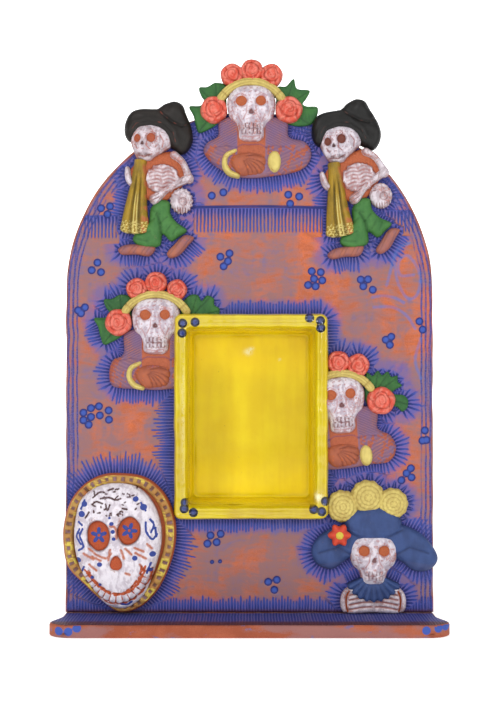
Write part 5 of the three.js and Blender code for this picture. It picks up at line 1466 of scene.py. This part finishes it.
def panelForm(x, y, depth, along):
    spots = np.vstack([edge[0] for edge in combEdges])
    spans = np.concatenate([edge[1] for edge in combEdges])
    reaches = np.concatenate([edge[2] for edge in combEdges])
    tree = nearTree(spots)
    combU, combD, combReach = np.zeros(x.shape), np.zeros(x.shape), np.zeros(x.shape)
    for row in range(x.shape[0]):
        for column in range(x.shape[1]):
            index, reach = tree.find((x[row, column], y[row, column], 0))[1:]
            combU[row, column], combD[row, column] = spans[index], reach
            combReach[row, column] = reaches[index]
    ruled = np.zeros(x.shape)
    for first, last, level, length in combRows:
        drop = level - y
        share = np.where((x > first) & (x < last) & (drop > 0), drop / length, 9)
        here = (share < 1.15) & (combD > 2.8)
        combU, combD = np.where(here, x * 0.83 + 500, combU), np.where(here, drop + 0.6, combD)
        combReach = np.where(here, length, combReach)
        ruled = np.where(here, 1.0, ruled)
    jump = np.zeros(x.shape)
    for axis in (0, 1):
        step = np.abs(combU - np.roll(combU, 1, axis))
        jump = np.maximum(jump, np.maximum(step, np.roll(step, -1, axis)))
    calm = (jump > 2.6).astype(float)
    pitch = x[0, 1] - x[0, 0]
    slope = np.hypot(*np.gradient(combU, pitch))
    combSpread = np.clip(1 / np.maximum(blur(np.clip(slope, 0.2, 1.2), calm < 0.5, 2), 0.25), 1, 3.2)
    # The outer two ruled lines are thinner than the middle one
    lineD = np.minimum(nearPaths(x, y, ruledLines[:1]), nearPaths(x, y, ruledLines[1:]) + 0.7)
    scrollD, scoreD, dotD = nearPaths(x, y, curls), nearPaths(x, y, scored), surfaceMarks(x, y, dots)
    half, spring, edge = panel["half"], panel["spring"], panel["edge"]
    edgeD = np.where(y > spring, half - np.hypot(np.abs(x), y - spring), half - np.abs(x))
    rounding = edge - np.clip(depth, 0, edge)
    height = 0.3 * wobble(x, y, 60, 61) * ease(depth, 0, 8) - (edge - np.sqrt(edge**2 - rounding**2))
    height = height - 0.8 * ease(dotD, 3.1, 2.1) - 0.45 * ease(np.minimum(lineD, scoreD), 1.2, 0.4)
    for spot in ground["border"]:
        height -= 0.45 * bell(edgeD - spot - 0.4 * wobble(x, y, 40, 63), 0.8)
    # Painted shade at the foot, where the panel meets the base, and in patches along the rounded rim
    umber = np.maximum(ease(y, 12.4, 10), ease(edgeD, 2.2, 0.8) * ease(wobble(x, y, 14, 68), -0.3, 0.3))
    return height, {"combU": combU, "combD": combD, "combReach": combReach, "combSpread": combSpread,
                    "calm": calm, "ruled": ruled, "edgeD": edgeD, "dotD": dotD, "lineD": lineD,
                    "scrollD": scrollD, "bare": ease(edgeD, 1.3, 0.4), "umber": umber * 0.8}


def roundedFrame(halfWide, halfTall, radius, cx, cy, pitch=0.25, ripple=0.0):
    points = []
    for sx, sy, start in ((1, 1, 0), (-1, 1, 90), (-1, -1, 180), (1, -1, 270)):
        for a in np.radians(np.linspace(start, start + 90, 14)):
            points.append((cx + sx * (halfWide - radius) + radius * math.cos(a),
                           cy + sy * (halfTall - radius) + radius * math.sin(a)))
    line = even(points, pitch)
    wave = ripple * wobble(line[:, 0], line[:, 1], 22, 71)
    return line + (line - [cx, cy]) / np.linalg.norm(line - [cx, cy], axis=1)[:, None] * wave[:, None]


# Niche: a slab box behind an opening in the panel, with a finger-rounded frame, all under yellow glaze

niche = {"cx": 1.3, "cz": 146.1, "halfWide": 44, "halfTall": 61.3, "draft": 1.2, "wall": 7, "backInside": 36,
         "backOutside": 44, "frameWide": 53.7, "frameTall": 71.6, "frameHeight": 11.7, "corner": 5}

frameOutline = roundedFrame(niche["frameWide"], niche["frameTall"], niche["corner"], niche["cx"] - 0.2,
                            niche["cz"] + 0.5, ripple=0.45)
combFrom(onPanel(0, 0), frameOutline,
         np.where(frameOutline[:, 0] < -50, panel["wideFrameComb"], panel["frameComb"]))
footLine = [np.linspace(-panel["half"], panel["half"], 1032), np.full(1032, panel["foot"])]
combFrom(onPanel(0, 0), np.stack(footLine, 1), panel["footComb"])


def addPanel():
    low, high = panelLow * 1000, panelHigh * 1000
    turns = np.linspace(0, math.pi, 400)
    half, spring = (high.x - low.x) / 2, panel["spring"]
    crown = high.z - spring
    power = 2 / panel["archPower"]
    arch = [(half * math.copysign(abs(math.cos(a)) ** power, math.cos(a)),
             spring + crown * math.sin(a) ** power) for a in turns]
    outline = even([(half, low.z)] + arch + [(-half, low.z)])
    inward = 0.5 * (1 + wobble(outline[:, 0], outline[:, 1], 38, 67)) * ease(outline[:, 1], 12, 30)
    middle = np.array([0, 200.0])
    outline -= (outline - middle) / np.linalg.norm(outline - middle, axis=1)[:, None] * inward[:, None]
    hole = roundedFrame(niche["halfWide"] + niche["wall"] + 0.3, niche["halfTall"] + niche["wall"] + 0.3, 1,
                        niche["cx"], niche["cz"])
    thick = low.y - high.y
    skirt = ((0, -3.2), (0, -5.8), (0, thick + 1), (-0.3, thick + 0.3), (-1, thick))
    relief("combed_panel", onPanel(0, 0), [outline, hole], panelForm, materials["ground"],
           pitch=panel["pitch"], skirt=skirt, nodes=["back_panel"], slot="slipped_clay", soften=0, sharp=70)


addPanel()
print("panel combed")


# Base plate: its sides draw in behind the front corners, and each nick in its foot has a place, a width
# and a height
# The painted shade near the front of the top grows between the two distances in front of the panel's face
slab = {"edge": 1.5, "backCorner": 4, "frontCorner": 16, "narrower": 0.05, "narrowFrom": -36, "narrowTo": -11,
        "nicks": ((-123.5, 2.2, 2.4), (121.5, 2.6, 1.8)), "umber": (25, 34)}


def addBase():
    low, high = (corner * 1000 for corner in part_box("base_plate"))

    def lay(x, y, height):
        return np.stack([x, y, height], 1) / 1000

    def top(x, y, depth, along):
        edge = slab["edge"]
        rounding = edge - np.clip(depth, 0, edge)
        height = high.z - (edge - np.sqrt(edge**2 - rounding**2)) - 0.15 * (1 + wobble(x, y, 40, 81))
        ahead = panelLow.y * 1000 - y
        # Painted shade darkens the front part of the top
        return height, {"combU": x, "combD": np.where(ahead > 0, ahead * 0.05 + 2.4, 50), "combReach": 9.0,
                        "combSpread": 1.0, "calm": 0.0, "ruled": 1.0, "edgeD": 30.0, "dotD": 99.0,
                        "lineD": 99.0, "scrollD": 99.0, "bare": ease(depth, 1.5, 0.7) + (ahead < -9),
                        "umber": ease(ahead, *slab["umber"])}

    def nicked(level):
        def heights(ring):
            rise = np.zeros(len(ring))
            if level < 2:
                for spot, wide, tall in slab["nicks"]:
                    rise = np.maximum(rise, tall * bell(ring[:, 0] - spot, wide) * (ring[:, 1] < -20))
            return level + rise
        return heights

    back, front = slab["backCorner"], slab["frontCorner"]
    corners = [(high.x, back, 1, 0), (-high.x, back, -1, 90), (-high.x, front, -1, 180),
               (high.x, front, 1, 270)]
    points = []
    for x, radius, side, start in corners:
        y = (high.y - radius) if start < 180 else (low.y + radius)
        for a in np.radians(np.linspace(start, start + 90, 16)):
            points.append((x - side * radius + radius * math.cos(a), y + radius * math.sin(a)))
    points = even(points, 0.5)
    points[:, 0] *= 1 - slab["narrower"] * ease(points[:, 1], slab["narrowFrom"], slab["narrowTo"])
    skirt = [(0, nicked(level)) for level in (7, 6.4, 5.8, 5.2, 4.6, 4, 3.4, 2.8, 2.2, 1.6, 1.1)]
    skirt += [(-0.25, nicked(0.5)), (-0.9, nicked(0.1)), (-1.6, 0.0)]
    piece = relief("base_slab", lay, [points], top, materials["ground"], pitch=1.0, skirt=skirt,
                  nodes=["base_plate"], slot="bare_clay", soften=0, sharp=70)
    mesh = piece.data
    spots = np.zeros(len(mesh.vertices) * 3, np.float32)
    mesh.vertices.foreach_get("co", spots)
    x, y, z = (spots.reshape(-1, 3) * 1000).T
    front = (y < -20) & (z < high.z - 0.4)
    marks = np.where(front, surfaceMarks(x, z, baseDots), 99).astype(np.float32)
    mesh.attributes["dotD"].data.foreach_set("value", marks)


addBase()
print("base laid")


def yellowGlaze():
    paint = Paint("yellowGlaze")
    pool, dot, front = paint.value("pool"), paint.value("dotD"), paint.value("front")
    broad = paint.noise(30, 4)
    mottle = paint.noise(220, 4)
    fine = paint.noise(1100, 3)
    runs = paint.noise(120, 3, stretch=(1, 1, 0.12))
    y, z = paint.parts()[1:]
    # Painted light: inside the niche the glaze is painted brighter than on the frame, and brighter still near
    # its top and foot, to make up for the shade of the box
    inside = y.step(-0.002, 0.02)
    ends = abs(z - niche["cz"] / 1000).step(0.02, 0.056)  # near the top and the foot of the niche
    light = paint.mix(ends, "e2cc12", "fae216")
    dark = paint.mix(ends, "d6ba0a", "eed010")
    body = paint.mix((broad * 0.7 + runs * 0.5).step(0.42, 0.78), paint.mix(inside, "d2be10", light),
                     paint.mix(inside, "c2a60a", dark))
    # Dark olive where glaze pools in corners, together with painted shade at the niche's lip, walls and foot
    body = paint.mix((pool * (0.75 + mottle * 0.5)).clamp(), body, "6f5606")
    specks = (paint.noise(420, 2) * 0.8 + broad * 0.3).step(0.74, 0.78)
    body = paint.mix(specks * 0.5, body, "9a7c10")
    # Pale cream chips, and a painted highlight streak on the frame
    chipsAndHighlight = paint.value("chip") * (mottle * 0.6 + fine * 0.6).step(0.52, 0.58)
    body = paint.mix(chipsAndHighlight, body, "f3efc8")
    ring = (dot + mottle * 0.5).step(3.7, 3.3)
    body = paint.mix(ring, body, "10131f")
    body = paint.mix((dot + mottle * 0.7).step(2.4, 1.8), body,
                     paint.mix(fine.step(0.4, 0.7), "22367c", "141e50"))
    raw = paint.mix((broad * 0.7 + fine * 0.4).step(0.45, 0.68), "b4583a", "c97048")
    body = paint.mix(front, raw, body)
    coat = front * (1 - chipsAndHighlight * 0.6) * (1 - inside * 0.85)
    rough = 0.62 - front * 0.32 + mottle * 0.08
    return paint.finish(body, rough, mottle * 0.35 + fine * 0.12, 0.0005, Coat_Weight=coat,
                        Coat_Roughness=0.06, Specular_IOR_Level=0.1, Coat_IOR=1.55)


materials["glaze"] = yellowGlaze()
frameDots = [(-46.2, 211.3), (-37.6, 212.0), (-46.6, 204.4), (41.5, 215.0), (49.1, 213.0), (49.3, 208.0),
             (-44.5, 87.2), (-45.2, 82.9), (-38.8, 80.4), (44.4, 82.5), (50.0, 81.0), (52.6, 88.2)]


def addFrame():
    inner = roundedFrame(niche["halfWide"], niche["halfTall"], 2.5, niche["cx"], niche["cz"], ripple=0.3)

    def bar(x, y, depth, along):
        sway = depth + 0.7 * wobble(x, y, 15, 74)
        height = pillow(depth, 2.2, 3.0, niche["frameHeight"])
        height = height - 1.3 * ease(sway, 2.0, 4.4) + 0.8 * ease(sway, 6.2, 7.8) - 0.9 * ease(sway, 8.0, 9.6)
        height = height + 0.4 * wobble(x, y, 14, 73) * ease(depth, 0.5, 3) - 0.3
        dotD = surfaceMarks(x, y, frameDots)
        height -= 0.7 * ease(dotD, 3.2, 1.8)
        px = np.abs(x - niche["cx"]) - niche["halfWide"]
        py = np.abs(y - niche["cz"]) - niche["halfTall"]
        lip = ease(np.maximum(px, py), 1.1, 0.2)
        # A chip, and a thin pale streak down the left bar's inner ridge that is a painted highlight
        chip = knoll(x, y, 46.5, 91, 4, 3) + knoll(x, y, -46, 150, 1, 50) * 0.3
        # Painted shade with pooled glaze along the frame's inner lip and over the inner side of its bars
        return height, {"pool": lip * 0.3 + 0.12 * ease(depth, 2.2, 4.4), "dotD": dotD, "front": 1.0,
                        "chip": chip}

    relief("yellow_frame", onPanel(0, 0), [frameOutline, inner], bar, materials["glaze"], pitch=0.5,
           skirt=((0, 1.6), (0, 0.4), (0.1, -0.4)), soften=2, slot="yellow_glaze",
           nodes=["frame_left_bar", "frame_right_bar", "frame_top_bar", "frame_bottom_bar"])


addFrame()


# Rings of points joined one to the next, closed at both ends
def addNicheBox():
    count = 260
    face = panelFaceY

    def ring(grow, y, radius, scale=1.0, ripple=0.0):
        line = roundedFrame(niche["halfWide"] + grow, niche["halfTall"] + grow, radius, 0, 0, pitch=0.25)
        pick = np.linspace(0, len(line), count, endpoint=False).astype(int)
        line = line[pick] * scale
        points = np.stack([line[:, 0] + niche["cx"], np.full(count, float(y)), line[:, 1] + niche["cz"]], 1)
        sink = ripple * wobble(points[:, 0] + points[:, 1], points[:, 2] - points[:, 1] * 0.7, 26, 91)
        if scale < 1:
            points[:, 1] -= sink
        else:
            points[:, [0, 2]] -= (line / np.linalg.norm(line, axis=1)[:, None]) * sink[:, None]
        return points

    rings, marks = [], []

    def add(points, front, pool):
        rings.append(points)
        marks.append((front, pool))

    wall, draft, back = niche["wall"], niche["draft"], niche["backInside"]
    for scale in np.linspace(0.02, 0.96, 12):
        add(ring(wall - 2.4, niche["backOutside"] - 0.2, 3, scale, 0.15), 0, 0)
    for a in np.radians(np.linspace(0, 90, 6)):
        add(ring(wall - 2 + 2 * math.sin(a), niche["backOutside"] - 2 + 2 * math.cos(a), 3), 0, 0)
    for y in np.arange(niche["backOutside"] - 4, face + 2, -3):
        add(ring(wall, y, 3), 0, 0)
    add(ring(wall - 0.2, face, 2.5), 0, 0)
    # The front lip of the opening is painted darker: painted shade with pooled glaze
    add(ring(0.4, face, 2.5), 1, 0.5)
    inset = 1.8
    for y in np.arange(face + 1, back - inset, 1.2):
        share = (y - face) / (back - face)
        # Painted shade with pooled glaze, darkest just inside the lip and near the back
        wallPoolAndShade = math.exp(-((y - face) / 3) ** 2) * 0.25 + math.exp(-((back - y) / 5) ** 2) * 0.12
        add(ring(-draft * share, y, 2.5 + 1.5 * share, 1.0, 0.45), 1, wallPoolAndShade)
    for a in np.radians(np.linspace(0, 90, 8)):
        add(ring(-draft - inset * (1 - math.cos(a)), back - inset + inset * math.sin(a), 4), 1, 0.2)
    for i, scale in enumerate(np.linspace(0.985, 0.02, 60)):
        add(ring(-draft - inset, back, 4, scale, 0.5), 1, 0.15 * math.exp(-i / 1.2))
    points = np.vstack(rings)
    total = len(rings)
    faces = []
    for i in range(total - 1):
        for j in range(count):
            k = (j + 1) % count
            faces.append((i * count + j, i * count + k, (i + 1) * count + k, (i + 1) * count + j))
    faces.append(tuple(range(count)))
    faces.append(tuple(reversed(range((total - 1) * count, total * count))))
    front = np.repeat([mark[0] for mark in marks], count).astype(float)
    pool = np.repeat([mark[1] for mark in marks], count).astype(float)
    x, y, z = points.T
    cornerX = niche["halfWide"] - draft - np.abs(x - niche["cx"])
    cornerZ = niche["halfTall"] - draft - np.abs(z - niche["cz"])
    # Painted shade with pooled glaze along the corners of the walls, and on the bottom wall
    seam = np.where(y < back - 1, bell(np.abs(cornerX) + np.abs(cornerZ), 4), 0) * 0.3
    low = np.where(y < back - 1, ease(z, 90, 86) * 0.2, 0)
    chip = knoll(x, z, -1, 192.5, 2.6, 2) + knoll(x, z, 1.5, 195, 1.6, 1) + knoll(x, z, 22, 187, 0.8, 0.8)
    values = {"front": front, "pool": np.clip(pool + seam + low, 0, 1) * front,
              "dotD": np.full(len(points), 99.0), "chip": chip * (y > back - 1)}
    walls = ["niche_left_wall", "niche_right_wall", "niche_top_wall", "niche_bottom_wall"]
    buildMesh("niche_box", points / 1000, faces, materials["glaze"], values, sharp=70,
              nodes=["niche_back"] + walls)


addNicheBox()
print("niche glazed")


# Floor, light and air, in metres

studio = {
    "wallRadius": 9, "wallHeight": 5, "wallSteps": 48, "wallGlow": 1.0, "floorHalf": 12, "floorGlow": 0.5,
    "air": 0.44, "aim": (0, 0, 0.18),
    "lights": {"left": ((-0.95, -1.5, 0.85), 0.4, 10.4), "right": ((1.15, -1.3, 0.55), 0.4, 6.2),
               "front": ((0.1, -1.9, 0.4), 1.0, 5), "top": ((0, -0.7, 1.5), 0.9, 4)},
}


def addStage(name, corners, faces, glow):
    mesh = bpy.data.meshes.new(name)
    mesh.from_pydata(corners, [], faces)
    plane = bpy.data.objects.new(name, mesh)
    bpy.context.scene.collection.objects.link(plane)
    paint = Paint(name)
    x, y = paint.parts()[:2]
    # The glow fades out to the sides and in front, so that no edge shows against the air
    bright = y.step(0.5, 5) if name == "backdrop" else abs(x).top(0 - y).step(3.7, 1.2)
    paint.finish(paint.mix(paint.noise(40, 3), (0.93, 0.93, 0.93, 1), (0.95, 0.95, 0.95, 1)), 0.8,
                 Emission_Strength=glow, Emission_Color=paint.mix(bright, (0, 0, 0, 1), (1, 1, 1, 1)))
    mesh.materials.append(paint.material)


def addStudio():
    reach, steps, half = studio["wallRadius"], studio["wallSteps"], studio["floorHalf"]
    addStage("floor", [(-half, -half, 0), (half, -half, 0), (half, half, 0), (-half, half, 0)],
             [(0, 1, 2, 3)], studio["floorGlow"])
    turns = np.linspace(-0.1, math.pi + 0.1, steps)
    wall = [(reach * math.cos(a), reach * math.sin(a), z) for z in (-0.5, studio["wallHeight"])
            for a in turns]
    addStage("backdrop", wall, [(i, i + 1, i + steps + 1, i + steps) for i in range(steps - 1)],
             studio["wallGlow"])
    world = bpy.data.worlds.new("studio")
    world.use_nodes = True
    world.node_tree.nodes["Background"].inputs[0].default_value = (1, 1, 1, 1)
    world.node_tree.nodes["Background"].inputs[1].default_value = studio["air"]
    bpy.context.scene.world = world
    for name, (place, size, power) in studio["lights"].items():
        data = bpy.data.lights.new(name, "AREA")
        data.size = size
        data.energy = power
        lamp = bpy.data.objects.new(name, data)
        lamp.location = place
        aim = Vector(studio["aim"]) - lamp.location
        lamp.rotation_euler = aim.to_track_quat("-Z", "Y").to_euler()
        bpy.context.scene.collection.objects.link(lamp)
    bpy.context.scene.view_settings.view_transform = "Standard"


addStudio()
